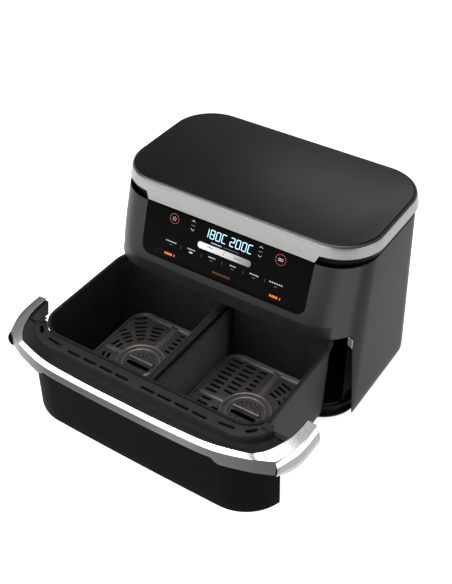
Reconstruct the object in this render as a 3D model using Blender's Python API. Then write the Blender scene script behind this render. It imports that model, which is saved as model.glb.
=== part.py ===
"""A two-zone air fryer with one wide drawer, modelled as an assembly of separate pieces.

Metres, +Z up, the front of the appliance faces -Y and +X is to the right of someone facing it.
Every piece is laid out with the drawer closed, in the housing's own plan, whose middle is y = 0.
Two empties then place them: "appliance" centres the whole object over the origin, and
"drawer" is drawn out to the front by DRAWER_OPEN, which is the pose the object is stored in.
"""

import math

import bmesh
import bpy
from mathutils import Matrix, Vector

# ---------------------------------------------------------------- driving dimensions
HEIGHT = 0.322              # floor to the top cover
HALF_WIDTH = 0.2288         # housing side wall at its foot
SIDE_DRAFT = 0.040          # the side walls lean in by this much for each metre of height
REAR = 0.1210               # rear wall
LIP_FRONT = -0.1600         # lower front edge of the upper housing, over the drawer
CREASE_FRONT = -0.1570      # where the sloping face turns down
PANEL_TOP_FRONT = -0.1275   # upper end of the sloping face
DRAWER_OPEN = 0.210         # how far the drawer stands open in the stored pose
CENTRE_SHIFT = 0.1412       # puts the stored pose's box over the origin

GAP = 0.0003                # air between pieces that touch

# heights, from the floor up
FOOT_TOP = 0.0057
BASE_BOTTOM = 0.0060
BASE_RIM = 0.0117
FLOOR = 0.0205              # raised floor of the cavity
WRAP_BOTTOM = 0.0120
FASCIA_BOTTOM = 0.0120
PAN_BOTTOM = 0.0233
PAN_RIM = 0.1700
LIP = 0.1730
CREASE = 0.1925
CEILING = 0.2165            # underside of the liner's ceiling
SHIELD = 0.2195
WRAP_TOP = 0.2880
PANEL_TOP = 0.2900
BAND_BOTTOM = 0.3020
BAND_SHOULDER = 0.3160

# plan sizes
CORNER = 0.0670             # corner radius at the top of the housing
CORNER_LOW = 0.0750         # front corner radius at the lip, the base and the drawer
SIDE_EDGE = -0.1217         # front edge of the side walls beside the drawer
PANEL_HALF = 0.1494
BAND_STEP = 0.0003          # each end of the band's drop stands this far outside the panel
TOP_HALF_X = 0.2150
TOP_HALF_Y = 0.1163
TOP_CORNER = TOP_HALF_X - PANEL_HALF - 0.0004
BAND_HALF_X = 0.2225
BAND_HALF_Y = 0.1238
BAND_CORNER = BAND_HALF_X - PANEL_HALF - 0.0004
SHEET = 0.0010              # sheet steel of the housing
LINER_SHEET = 0.0008
PAN_SHEET = 0.0020

# drawer, closed
PAN_HALF = 0.2000           # half width over the rim
PAN_HALF_LOW = 0.1900
PAN_REAR = 0.0950
PAN_FRONT = -0.1400
PAN_CORNER = 0.0400
LEDGE_TOP = 0.1680
LEDGE_EDGE = -0.1655
LEDGE_END = -0.1260         # where the ledge stops at the sides
TROUGH = 0.1530
FASCIA_FRONT = -0.1760
FASCIA_TOP = 0.1390
FASCIA_END = -0.1235
HANDLE_TOP = 0.1580
TONGUE_TOP = 0.1464

# the two cooking zones
ZONE_X = 0.0980
ZONE_Y = -0.0220
GUARD_RADIUS = 0.0760
SHAFT_RADIUS = 0.0030
GLAND_HEIGHT = 0.0600       # of the power cord's gland in the rear wall

# crisper plates and divider
PLATE_TOP = 0.0440
PLATE_THICK = 0.0016
PLATE_INNER = 0.0075        # edge beside the divider
PLATE_OUTER = 0.1830
PLATE_FRONT = -0.1290
PLATE_REAR = 0.0840
BOSS_X = 0.1015              # the round grip boss is in the middle of each crisper plate
BOSS_Y = -0.0225
DIVIDER_TOP = 0.1500

SCENE = bpy.context.scene


# ---------------------------------------------------------------- mesh helpers
def clear_scene():
    for obj in list(bpy.data.objects):
        bpy.data.objects.remove(obj, do_unlink=True)


def material(name, colour, roughness, metallic=0.0):
    mat = bpy.data.materials.new(name)
    mat.use_nodes = True
    shader = mat.node_tree.nodes["Principled BSDF"]
    shader.inputs["Base Color"].default_value = (*colour, 1.0)
    shader.inputs["Roughness"].default_value = roughness
    shader.inputs["Metallic"].default_value = metallic
    return mat


def empty(name, location, parent=None):
    obj = bpy.data.objects.new(name, None)
    obj.location = location
    obj.parent = parent
    SCENE.collection.objects.link(obj)
    return obj


def add_object(name, bm, mat, parent, smooth=True, location=(0, 0, 0)):
    """Close a bmesh into a named object with its faces pointing out."""
    bmesh.ops.recalc_face_normals(bm, faces=bm.faces)
    mesh = bpy.data.meshes.new(name)
    bm.to_mesh(mesh)
    bm.free()
    if mat is not None:
        mesh.materials.append(mat)
    if smooth:
        mesh.shade_smooth()
        mesh.set_sharp_from_angle(angle=math.radians(35))
    obj = bpy.data.objects.new(name, mesh)
    obj.location = location
    obj.parent = parent
    SCENE.collection.objects.link(obj)
    return obj


def loft(rings, closed=False):
    """Skin a stack of rings that have equal point counts; the ends are capped unless closed."""
    bm = bmesh.new()
    rows = [[bm.verts.new(p) for p in ring] for ring in rings]
    count = len(rows[0])
    pairs = list(zip(rows, rows[1:]))
    if closed:
        pairs.append((rows[-1], rows[0]))
    for low, high in pairs:
        for i in range(count):
            j = (i + 1) % count
            bm.faces.new((low[i], low[j], high[j], high[i]))
    if not closed:
        bm.faces.new(list(reversed(rows[0])))
        bm.faces.new(rows[-1])
    return bm


def box(low, high):
    """A box between two corners, as a bmesh."""
    xs, ys, zs = zip(low, high)
    plan = [(xs[0], ys[0]), (xs[1], ys[0]), (xs[1], ys[1]), (xs[0], ys[1])]
    return loft([[(x, y, z) for x, y in plan] for z in zs])


def circle(radius, z, steps=24, centre=(0.0, 0.0)):
    return [(centre[0] + radius * math.cos(2 * math.pi * i / steps),
             centre[1] + radius * math.sin(2 * math.pi * i / steps), z) for i in range(steps)]


def turned(profile, steps=24, closed=False):
    """Rings for a round piece from (radius, z) pairs, bottom to top."""
    return loft([circle(r, z, steps) for r, z in profile], closed)


def plan(half_x, front, rear, r_front, r_rear, bow=0.0, steps=6, front_points=5):
    """Rounded rectangle seen from above, anticlockwise; bow draws the front's ends back."""
    points = []
    corners = ((-1, front, r_front, 180), (1, front, r_front, 270),
               (1, rear, r_rear, 0), (-1, rear, r_rear, 90))
    for number, (side, y, radius, start) in enumerate(corners):
        sign = 1 if y == front else -1
        centre = (side * (half_x - radius), y + sign * radius)
        for i in range(steps + 1):
            angle = math.radians(start + 90 * i / steps)
            points.append((centre[0] + radius * math.cos(angle), centre[1] + radius * math.sin(angle)))
        if number == 0:
            reach = half_x - r_front
            points += [(reach * (2 * i / (front_points + 1) - 1), front)
                       for i in range(1, front_points + 1)]
    middle = (front + rear) / 2
    return [(x, y + bow * (x / half_x) ** 2 * (1 if y < middle else 0)) for x, y in points]


def at(points, z):
    return [(x, y, z) for x, y in points]


def cutter(name, bm, parent):
    """A hidden solid that other pieces are cut with."""
    obj = add_object(name, bm, None, parent, smooth=False)
    obj.hide_render = True
    obj.display_type = "WIRE"
    return obj


def boolean(obj, tool, operation="DIFFERENCE"):
    mod = obj.modifiers.new(f"{operation.lower()}_{tool.name}", "BOOLEAN")
    mod.operation = operation
    mod.solver = "EXACT"
    mod.object = tool
    return mod


def joined(parts):
    """Several bmeshes in one, for a cutter made of separate solids."""
    whole = bmesh.new()
    for part in parts:
        mesh = bpy.data.meshes.new("part")
        bmesh.ops.recalc_face_normals(part, faces=part.faces)
        part.to_mesh(mesh)
        part.free()
        whole.from_mesh(mesh)
        bpy.data.meshes.remove(mesh)
    return whole


def sweep(sections):
    """A bar whose cross-section is given station by station, capped at both ends."""
    return loft(sections)


def side_half(z):
    """Half width of the housing's side wall at height z."""
    return HALF_WIDTH - SIDE_DRAFT * (z - WRAP_BOTTOM)


# ---------------------------------------------------------------- the sloping front face
SLOPE = math.atan2(PANEL_TOP_FRONT - CREASE_FRONT, WRAP_TOP - CREASE)


def on_slope(x, up, out):
    """A point on the sloping front face: up the slope from the crease, out of the face."""
    base = Vector((x, CREASE_FRONT, CREASE))
    along = Vector((0.0, math.sin(SLOPE), math.cos(SLOPE)))
    normal = Vector((0.0, -math.cos(SLOPE), math.sin(SLOPE)))
    return base + along * up + normal * out


def slope_box(x_low, x_high, up_low, up_high, out_low, out_high, radius=0.0, steps=4):
    """A plate lying on the slope, with rounded lower corners when a radius is given."""
    outline = [(x_low, up_high), (x_low, up_low), (x_high, up_low), (x_high, up_high)]
    if radius:
        outline = [(x_low, up_high)]
        for centre_x, start in ((x_low + radius, 180), (x_high - radius, 270)):
            for i in range(steps + 1):
                angle = math.radians(start + 90 * i / steps)
                outline.append((centre_x + radius * math.cos(angle),
                                up_low + radius + radius * math.sin(angle)))
        outline.append((x_high, up_high))
    return loft([[on_slope(x, up, out) for x, up in outline] for out in (out_low, out_high)])


SLOPE_LENGTH = math.hypot(PANEL_TOP_FRONT - CREASE_FRONT, WRAP_TOP - CREASE)
PANEL_LOW = 0.0130          # panel's lower edge, up the slope from the crease
PANEL_HIGH = SLOPE_LENGTH - 0.0005


# ---------------------------------------------------------------- housing
def housing_plan(z, inset=0.0):
    """Outline of the housing's side, rear and front walls at height z."""
    rise = min(max((z - LIP) / (CREASE - LIP), 0.0), 1.0)
    front = LIP_FRONT + rise * (CREASE_FRONT - LIP_FRONT)
    corner = CORNER_LOW
    bow = 0.0040
    if z > CREASE:
        up = (z - CREASE) / (WRAP_TOP - CREASE)
        front = CREASE_FRONT + up * (PANEL_TOP_FRONT - CREASE_FRONT)
        corner = CORNER_LOW + up * (CORNER - CORNER_LOW)
        bow = 0.0040 * (1 - up) ** 4
    half = side_half(z) - inset
    return plan(half, front + inset, REAR - inset, corner - inset, CORNER - inset, bow)


def build_wrap(mats, root):
    """The one-piece skin round the sides, rear and upper front, open below and above."""
    levels = (WRAP_BOTTOM, LIP, CREASE, 0.2150, 0.2450, WRAP_TOP)
    rings = [at(housing_plan(z), z) for z in levels]
    rings += [at(housing_plan(z, SHEET), z) for z in reversed(levels)]
    wrap = add_object("housing_wrap", loft(rings, closed=True), mats["gunmetal"], root)

    # the drawer's opening, with a rounded upper rear corner in each side wall
    radius = 0.0100
    outline = [(-0.30, -0.10), (SIDE_EDGE, -0.10), (SIDE_EDGE, LIP - radius)]
    for i in range(1, 5):
        angle = math.radians(90 * i / 5)
        outline.append((SIDE_EDGE - radius + radius * math.cos(angle),
                        LIP - radius + radius * math.sin(angle)))
    outline += [(SIDE_EDGE - radius, LIP + 0.00001), (-0.30, LIP + 0.00001)]
    mouth = loft([[(x, y, z) for y, z in outline] for x in (-0.30, 0.30)])
    boolean(wrap, cutter("drawer_mouth_cutter", mouth, root))

    window = slope_box(-PANEL_HALF, PANEL_HALF, PANEL_LOW, 0.20, -0.02, 0.02, 0.016)
    boolean(wrap, cutter("panel_window_cutter", window, root))

    rear = joined([
        box((-0.100, REAR - 0.02, 0.196), (0.100, REAR + 0.02, 0.262)),
        loft([[(x, y, GLAND_HEIGHT + z) for x, z, _ in circle(0.0105, 0.0, 16)]
              for y in (REAR - 0.02, REAR + 0.02)]),
    ])
    boolean(wrap, cutter("rear_openings_cutter", rear, root))
    return wrap


def build_top(mats, root):
    """Top cover, the bright band round it and the vented collar under the band."""
    inset = 0.0020
    rings = [at(plan(TOP_HALF_X - 0.0008, 0.0008 - TOP_HALF_Y, TOP_HALF_Y - 0.0008,
                     TOP_CORNER, TOP_CORNER), z)
             for z in (BAND_SHOULDER - 0.0010, HEIGHT - 0.0012)]
    rings.append(at(plan(TOP_HALF_X - inset, inset - TOP_HALF_Y, TOP_HALF_Y - inset,
                         TOP_CORNER - inset, TOP_CORNER - inset), HEIGHT))
    add_object("top_cover", loft(rings), mats["black_plastic"], root)

    # the band drops lower in front, between the two ends of the control panel
    def band_ring(half_x, half_y, radius, z, drop_z=None, drop_y=0.0):
        corners = plan(half_x, -half_y, half_y, radius, radius, front_points=0)
        left = corners[:7]
        right = corners[7:]
        front = []
        outside, within = PANEL_HALF + BAND_STEP, PANEL_HALF - 0.0007
        for x in (-outside, -within, within, outside):
            inside = abs(x) < PANEL_HALF and drop_z is not None
            front.append((x, -half_y - (drop_y if inside else 0.0), drop_z if inside else z))
        return at(left, z) + front + at(right, z)

    skin = 0.0022
    low_drop = PANEL_TOP + 0.0006
    lean = -PANEL_TOP_FRONT - BAND_HALF_Y
    rings = [
        band_ring(BAND_HALF_X, BAND_HALF_Y, BAND_CORNER, BAND_BOTTOM, low_drop, lean),
        band_ring(BAND_HALF_X, BAND_HALF_Y, BAND_CORNER, BAND_SHOULDER),
        band_ring(TOP_HALF_X, TOP_HALF_Y, TOP_CORNER, HEIGHT - 0.0008),
        band_ring(TOP_HALF_X, TOP_HALF_Y, TOP_CORNER, BAND_SHOULDER - 0.0014),
        band_ring(BAND_HALF_X - skin, BAND_HALF_Y - skin, BAND_CORNER - skin, BAND_SHOULDER - 0.0014),
        band_ring(BAND_HALF_X - skin, BAND_HALF_Y - skin, BAND_CORNER - skin, BAND_BOTTOM, low_drop, lean),
    ]
    add_object("top_trim_band", loft(rings, closed=True), mats["steel"], root)

    back = 0.0055
    collar = [plan(BAND_HALF_X - back - t, back + t - BAND_HALF_Y, BAND_HALF_Y - back - t,
                   CORNER - t, CORNER - t) for t in (0.0, 0.0020)]
    heights = (WRAP_TOP + GAP, BAND_SHOULDER - 0.0022)
    rings = [at(collar[0], heights[0]), at(collar[0], heights[1]),
             at(collar[1], heights[1]), at(collar[1], heights[0])]
    add_object("vent_collar", loft(rings, closed=True), mats["black_plastic"], root)


def build_front_controls(mats, root):
    """Control panel with what sits on and behind it."""
    add_object("control_panel", slope_box(-PANEL_HALF + GAP, PANEL_HALF - GAP, PANEL_LOW + GAP, PANEL_HIGH,
                                          -0.0020, 0.0002, 0.0157), mats["gloss_black"], root)
    add_object("display_module", slope_box(-0.046, 0.046, 0.050, 0.088, -0.0080, -0.0023),
               mats["board"], root, smooth=False)
    add_object("control_board", slope_box(-0.130, 0.130, 0.034, 0.090, -0.0099, -0.0083),
               mats["board"], root, smooth=False)
    bar = []
    for centre, start in ((-0.0385, 90), (0.0385, 270)):
        for i in range(7):
            angle = math.radians(start + 180 * i / 6)
            bar.append((centre + 0.0055 * math.cos(angle), 0.0445 + 0.0055 * math.sin(angle)))
    rings = [[on_slope(x, up, out) for x, up in bar] for out in (0.0005, 0.0010)]
    add_object("mode_touch_bar", loft(rings), mats["steel"], root)


def build_base(mats, root):
    """Base plate with its raised cavity floor, and the four feet."""
    rim = [plan(HALF_WIDTH - i, CREASE_FRONT + i, REAR - i, CORNER_LOW - i, CORNER - i, 0.004)
           for i in (0.0, 0.004)]
    floor = [plan(half, front, 0.112, 0.060, 0.055, 0.004)
             for half, front in ((0.2225, -0.1500), (0.2200, -0.1475))]
    rings = [at(rim[1], BASE_BOTTOM), at(rim[0], BASE_BOTTOM + 0.003), at(rim[0], BASE_RIM),
             at(floor[0], BASE_RIM), at(floor[0], FLOOR - 0.002), at(floor[1], FLOOR)]
    add_object("base_plate", loft(rings), mats["black_plastic"], root)
    for side, x in (("left", -0.180), ("right", 0.180)):
        for end, y in (("front", -0.125), ("rear", 0.085)):
            foot = turned([(0.0100, 0.0), (0.0115, 0.0012), (0.0115, FOOT_TOP)], 20)
            add_object(f"{end}_{side}_foot", foot, mats["rubber"], root, location=(x, y, 0))


def build_liner(mats, root):
    """The pressed inner box: ceiling, rear and sides, open below and at the drawer's mouth."""
    half, front, rear = 0.2080, -0.1440, 0.1016
    outer = plan(half, front, rear, 0.055, 0.045)
    inner = plan(half - LINER_SHEET, front + LINER_SHEET, rear - LINER_SHEET, 0.0542, 0.0442)
    top = CEILING + LINER_SHEET
    bm = bmesh.new()
    rows = [[bm.verts.new(p) for p in ring] for ring in (at(outer, top), at(outer, FLOOR + GAP),
                                                         at(inner, FLOOR + GAP), at(inner, CEILING))]
    count = len(outer)
    for low, high in zip(rows, rows[1:]):
        for i in range(count):
            j = (i + 1) % count
            bm.faces.new((low[i], low[j], high[j], high[i]))
    bm.faces.new(rows[0])
    bm.faces.new(rows[-1])
    liner = add_object("cavity_liner", bm, mats["liner_steel"], root)

    mouth = box((-0.30, -0.30, -0.10), (0.30, LINER_SIDE_EDGE, LIP + 0.0022))
    boolean(liner, cutter("liner_mouth_cutter", mouth, root))
    holes = []
    for x in (-ZONE_X, ZONE_X):
        holes.append(loft([circle(0.0070, z, 16, (x, ZONE_Y)) for z in (CEILING - 0.01, CEILING + 0.01)]))
        holes += [loft([circle(0.0045, z, 12, (x + dx, ZONE_Y + ELEMENT_RADIUS)) for z in (0.21, 0.23)])
                  for dx in (-ELEMENT_LEG, ELEMENT_LEG)]
        holes.append(loft([circle(0.0035, z, 12, (x * SENSOR_X, SENSOR_Y)) for z in (0.21, 0.23)]))
    boolean(liner, cutter("ceiling_holes_cutter", joined(holes), root))


LINER_SIDE_EDGE = -0.1050   # the side walls stop here, before the front corners narrow
ELEMENT_RADIUS = 0.0580
ELEMENT_LEG = 0.0140
SENSOR_X = 0.42             # sensor place across the zone, as a share of ZONE_X
SENSOR_Y = 0.0800


def build_zone(side, x, mats, root):
    """Fan guard, element, motor and sensor of one zone."""
    where = (x, ZONE_Y, 0)
    wall = 0.0010
    top = CEILING - GAP
    bm = bmesh.new()
    rows = [[bm.verts.new(p) for p in circle(r, z, 32)]
            for r, z in ((0.0060, 0.1780), (GUARD_RADIUS - 0.004, 0.1780), (GUARD_RADIUS, 0.1820),
                         (GUARD_RADIUS, top), (GUARD_RADIUS - wall, top),
                         (GUARD_RADIUS - wall, 0.1824), (GUARD_RADIUS - 0.0044, 0.1780 + wall),
                         (0.0060, 0.1780 + wall))]
    for low, high in zip(rows, rows[1:] + rows[:1]):
        for i in range(32):
            j = (i + 1) % 32
            bm.faces.new((low[i], low[j], high[j], high[i]))
    guard = add_object(f"{side}_fan_guard", bm, mats["steel"], root, location=where)
    slots = []
    for ring_radius, count in ((0.024, 6), (0.044, 8), (0.062, 10)):
        for i in range(count):
            middle = 2 * math.pi * i / count
            spread = math.pi / count * 0.62
            angles = [middle + spread * (k / 2 - 1) for k in range(5)]
            ring = [((ring_radius + 0.006) * math.cos(a), (ring_radius + 0.006) * math.sin(a))
                    for a in angles]
            ring += [((ring_radius - 0.006) * math.cos(a), (ring_radius - 0.006) * math.sin(a))
                     for a in reversed(angles)]
            slots.append(loft([at(ring, z) for z in (0.170, 0.1815)]))
    slot_cutter = cutter(f"{side}_guard_slot_cutter", joined(slots), root)
    slot_cutter.location = where
    boolean(guard, slot_cutter)

    # the element: an open ring whose two ends turn up through the ceiling
    curve = bpy.data.curves.new(f"{side}_heating_element", "CURVE")
    curve.dimensions = "3D"
    curve.bevel_depth = 0.0033
    curve.bevel_resolution = 2
    curve.use_fill_caps = True
    opening = math.asin(ELEMENT_LEG / ELEMENT_RADIUS)
    points = [(ELEMENT_LEG, ELEMENT_RADIUS, 0.2340), (ELEMENT_LEG, ELEMENT_RADIUS, 0.1960)]
    start = math.pi / 2 - opening - 0.06
    sweep_angle = 2 * math.pi - 2 * (opening + 0.06)
    for i in range(25):
        angle = start - sweep_angle * i / 24
        points.append((ELEMENT_RADIUS * math.cos(angle), ELEMENT_RADIUS * math.sin(angle), 0.1890))
    points += [(-ELEMENT_LEG, ELEMENT_RADIUS, 0.1960), (-ELEMENT_LEG, ELEMENT_RADIUS, 0.2340)]
    spline = curve.splines.new("POLY")
    spline.points.add(len(points) - 1)
    for point, co in zip(spline.points, points):
        point.co = (*co, 1.0)
    element = bpy.data.objects.new(f"{side}_heating_element", curve)
    element.data.materials.append(mats["element"])
    element.location = where
    element.parent = root
    SCENE.collection.objects.link(element)

    bore = SHAFT_RADIUS + 0.0006
    motor = turned([(bore, 0.2210), (0.0300, 0.2210), (0.0300, 0.2235), (0.0240, 0.2245), (0.0240, 0.2440),
                    (0.0200, 0.2470), (bore, 0.2470)], 24, closed=True)
    add_object(f"{side}_fan_motor", motor, mats["motor"], root, location=where)
    probe = turned([(0.0010, 0.1840), (0.0024, 0.1860), (0.0024, 0.2235), (0.0050, 0.2235),
                    (0.0050, 0.2290)], 12)
    add_object(f"{side}_temperature_sensor", probe, mats["steel"], root,
               location=(x * SENSOR_X, SENSOR_Y, 0))


def build_inner_services(mats, root):
    """Heat shield, boards, rear vent, cable gland, sensor switch, runners and mouth brackets."""
    shield = add_object("heat_shield", box((-0.195, -0.125, SHIELD), (0.195, 0.095, SHIELD + 0.0012)),
                        mats["liner_steel"], root, smooth=False)
    holes = []
    for x in (-ZONE_X, ZONE_X):
        holes.append(loft([circle(0.0080, z, 16, (x, ZONE_Y)) for z in (0.21, 0.23)]))
        holes += [loft([circle(0.0050, z, 12, (x + dx, ZONE_Y + ELEMENT_RADIUS)) for z in (0.21, 0.23)])
                  for dx in (-ELEMENT_LEG, ELEMENT_LEG)]
        holes.append(loft([circle(0.0040, z, 12, (x * SENSOR_X, SENSOR_Y)) for z in (0.21, 0.23)]))
    boolean(shield, cutter("shield_holes_cutter", joined(holes), root))

    board = add_object("power_board", box((-0.034, -0.060, 0.2300), (0.034, 0.062, 0.2316)),
                       mats["board"], root, smooth=False)
    parts = [box((-0.020, -0.010, 0.2310), (0.020, 0.018, 0.2480)),
             box((-0.022, 0.030, 0.2310), (0.022, 0.050, 0.2440))]
    parts += [box((sign * 0.016 - 0.011, -0.050, 0.2310), (sign * 0.016 + 0.011, -0.030, 0.2430))
              for sign in (-1, 1)]
    boolean(board, cutter("board_parts", joined(parts), root), "UNION")

    vent = add_object("rear_vent_cover",
                      box((-0.1045, REAR + GAP, 0.1915), (0.1045, REAR + 0.0030, 0.2665)),
                      mats["black_plastic"], root, smooth=False)
    slots = [box((x - 0.0020, REAR - 0.02, 0.2000), (x + 0.0020, REAR + 0.02, 0.2580))
             for x in (i * 0.0085 for i in range(-11, 12))]
    boolean(vent, cutter("rear_vent_cutter", joined(slots), root))

    gland = turned([(0.0035, -0.0060), (0.0102, -0.0060), (0.0102, 0.0002),
                    (0.0140, 0.0005), (0.0120, 0.0030),
                    (0.0035, 0.0030)], 20, closed=True)
    bmesh.ops.rotate(gland, verts=gland.verts, matrix=rotation_to_rear())
    add_object("cable_gland", gland, mats["rubber"], root, location=(0, REAR, GLAND_HEIGHT))

    add_object("drawer_sensor", box((-0.012, 0.1022, 0.120), (0.012, 0.1082, 0.132)),
               mats["black_plastic"], root,
               smooth=False)
    for side, sign in (("left", -1), ("right", 1)):
        low, high = sorted((sign * 0.150, sign * 0.166))
        add_object(f"{side}_runner", box((low, -0.135, FLOOR + GAP), (high, 0.090, FLOOR + 0.0022)),
                   mats["liner_steel"], root, smooth=False)
        low, high = sorted((sign * 0.2084, sign * 0.2120))
        add_object(f"{side}_mouth_bracket", box((low, -0.1130, 0.1500), (high, -0.1118, 0.1700)),
                   mats["steel"], root, smooth=False)


def rotation_to_rear():
    """Turns +Z to +Y."""
    return Vector((0, 0, 1)).rotation_difference(Vector((0, 1, 0))).to_matrix()


# ---------------------------------------------------------------- drawer
def build_pan(mats, drawer):
    """The deep pan with a turned-out rim and two pairs of ribs that hold the divider."""
    lift = PAN_SHEET
    outer = [(PAN_HALF_LOW - 0.008, PAN_BOTTOM, 0.008), (PAN_HALF_LOW, PAN_BOTTOM + 0.008, 0.0),
             (PAN_HALF - 0.0035, PAN_RIM - 0.0025, 0.0)]

    def ring(half, z, inset=0.0):
        rear = PAN_REAR - 0.0035 - 0.006 * (PAN_RIM - z) / (PAN_RIM - PAN_BOTTOM)
        return at(plan(half, PAN_FRONT - PAN_SHEET + inset, rear - inset, PAN_CORNER - inset,
                       PAN_CORNER - inset, front_points=0), z)

    rings = [ring(half, z, extra) for half, z, extra in outer]
    flange = at(plan(PAN_HALF, PAN_FRONT - 0.0040, PAN_REAR, PAN_CORNER + 0.003, PAN_CORNER + 0.003,
                     front_points=0), PAN_RIM - 0.0025)
    flange_top = [(x, y, PAN_RIM) for x, y, _ in flange]
    rings += [flange, flange_top, ring(PAN_HALF - 0.0035 - lift, PAN_RIM, lift),
              ring(PAN_HALF_LOW - lift, PAN_BOTTOM + 0.010, lift),
              ring(PAN_HALF_LOW - lift - 0.010, PAN_BOTTOM + lift, lift + 0.010)]
    pan = add_object("pan", loft(rings), mats["nonstick"], drawer)
    ribs = []
    for x in (-0.0085, 0.0060):
        ribs.append(box((x, 0.0780, PAN_BOTTOM + 0.0010), (x + 0.0025, 0.0880, PAN_RIM - 0.016)))
        ribs.append(box((x, -0.1410, PAN_BOTTOM + 0.0010), (x + 0.0025, -0.1340, PAN_RIM - 0.016)))
    boolean(pan, cutter("divider_ribs", joined(ribs), drawer), "UNION")


def front_plan(half, front, radius, end, steps=8, middle=6, bow=0.003):
    """Open plan line from the left end round the front to the right end."""
    centre = front + radius
    points = [(-half, end)] if end > centre else []
    first = math.pi + (0.0 if end > centre else math.asin((centre - end) / radius))
    count = steps + 2 - len(points)
    for i in range(count):
        angle = first + (1.5 * math.pi - first) * i / (count - 1)
        points.append((radius - half + radius * math.cos(angle), centre + radius * math.sin(angle)))
    reach = half - radius
    points += [(reach * (2 * i / (middle + 1) - 1), front) for i in range(1, middle + 1)]
    points += [(-x, y) for x, y in reversed(points[:steps + 2])]
    return [(x, y + bow * (x / half) ** 2) for x, y in points]


def inset_line(points, distance):
    """The same plan line moved towards its inner side."""
    moved = []
    for i, (x, y) in enumerate(points):
        before = points[max(i - 1, 0)]
        after = points[min(i + 1, len(points) - 1)]
        direction = Vector((after[0] - before[0], after[1] - before[1])).normalized()
        moved.append((x - direction.y * distance, y + direction.x * distance))
    return moved


def build_fascia(mats, drawer):
    """The black drawer front that wraps both corners."""
    low = front_plan(0.2265, FASCIA_FRONT, CORNER_LOW, FASCIA_END)
    high = front_plan(0.2215, FASCIA_FRONT - 0.003, CORNER_LOW, FASCIA_END)
    low_in, high_in = inset_line(low, 0.003), inset_line(high, 0.003)
    foot_in = inset_line(low, 0.0015)
    sections = []
    for a, b, c, d, foot in zip(low, high, high_in, low_in, foot_in):
        sections.append([(*foot, FASCIA_BOTTOM), (*a, FASCIA_BOTTOM + 0.002), (*b, FASCIA_TOP),
                         (*c, FASCIA_TOP), (*d, FASCIA_BOTTOM)])
    add_object("drawer_fascia", sweep(sections), mats["black_plastic"], drawer)


def spaced(line, count):
    """The same plan line as evenly spaced points."""
    lengths = [0.0]
    for start, end in zip(line, line[1:]):
        lengths.append(lengths[-1] + math.dist(start, end))
    points = []
    for i in range(count):
        goal = lengths[-1] * i / (count - 1)
        k = max(n for n in range(len(line) - 1) if lengths[n] <= goal)
        share = (goal - lengths[k]) / (lengths[k + 1] - lengths[k])
        points.append(tuple(a + (b - a) * share for a, b in zip(line[k], line[k + 1])))
    return points


def build_ledge(mats, drawer):
    """The vented shelf in front of the pan, with the gutter between it and the handle."""
    inner = front_plan(PAN_HALF + 0.0006, PAN_FRONT - 0.0046, 0.0436, LEDGE_END, bow=0.0)
    line = front_plan(0.2130, LEDGE_EDGE, 0.0560, LEDGE_END, bow=0.001)
    gutter = front_plan(0.2155, LEDGE_EDGE - 0.0025, 0.0580, LEDGE_END, bow=0.001)
    half = [handle_station(t)[1] for t in range(HANDLE_STATIONS - 3)]
    outer = inset_line([(-x, y) for x, y in reversed(half[1:])] + half, 0.0007)
    low = inset_line(outer, 0.0030)
    sections = []
    for a, b, c, d, e in zip(*(spaced(part, 33) for part in (inner, line, gutter, outer, low))):
        sections.append([(*a, LEDGE_TOP), (*a, LEDGE_TOP - 0.0030),
                         (*b, TROUGH - 0.0060), (*e, TROUGH - 0.0060),
                         (*d, HANDLE_TOP - 0.0030), (*c, TROUGH), (*b, TROUGH + 0.0010), (*b, LEDGE_TOP)])
    ledge = add_object("drawer_ledge", sweep(sections), mats["black_plastic"], drawer)
    slots = []
    for x in (0.0233, 0.0520, 0.0817, 0.1116, 0.1530):
        for sign in (-1, 1):
            slots.append(slot_solid((sign * x, -0.1575), 0.0, 0.024, 0.0055))
    for sign in (-1, 1):
        slots.append(slot_solid((sign * 0.1870, -0.1425), sign * math.radians(42), 0.021, 0.0055))
    boolean(ledge, cutter("ledge_slot_cutter", joined(slots), drawer))


def slot_solid(centre, angle, length, width):
    """A round-ended slot through the ledge."""
    radius = width / 2
    reach = length / 2 - radius
    ring = []
    for side, start in ((1, -90), (-1, 90)):
        for i in range(5):
            turn = math.radians(start + 45 * i)
            x = side * reach + radius * math.cos(turn)
            y = radius * math.sin(turn)
            ring.append((centre[0] + x * math.cos(angle) - y * math.sin(angle),
                         centre[1] + x * math.sin(angle) + y * math.cos(angle)))
    return loft([at(ring, z) for z in (LEDGE_TOP - 0.012, LEDGE_TOP + 0.01)])


def handle_station(t):
    """Half of the handle's plan from the middle (0) to the wing's end (1).

    Gives the outer edge, the inner edge, the crease height and the lower edge height."""
    outer = [(0.0, -0.1964), (0.050, -0.1962), (0.100, -0.1952), (0.1400, -0.1932), (0.1530, -0.1915),
             (0.1620, -0.1898), (0.1900, -0.1822), (0.2180, -0.1705), (0.2370, -0.1635), (0.2430, -0.1560),
             (0.2475, -0.1400), (0.2505, -0.1200), (0.2518, -0.1000), (0.2518, -0.0840)]
    inner = [(0.0, -0.1914), (0.050, -0.1914), (0.100, -0.1900), (0.1320, -0.1880), (0.1470, -0.1855),
             (0.1560, -0.1830), (0.1780, -0.1790), (0.2020, -0.1690), (0.2170, -0.1560), (0.2220, -0.1480),
             (0.2290, -0.1310), (0.2340, -0.1150), (0.2368, -0.0980), (0.2375, -0.0840)]
    crease = [0.1530] * 6 + [0.1532, 0.1538, 0.1548, 0.1555, 0.1568, 0.1580, 0.1592, 0.1598]
    low = [0.1380] * 5 + [0.1250] * 7 + [0.1270, 0.1310]
    return outer[t], inner[t], crease[t], low[t]


HANDLE_STATIONS = 14


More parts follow.
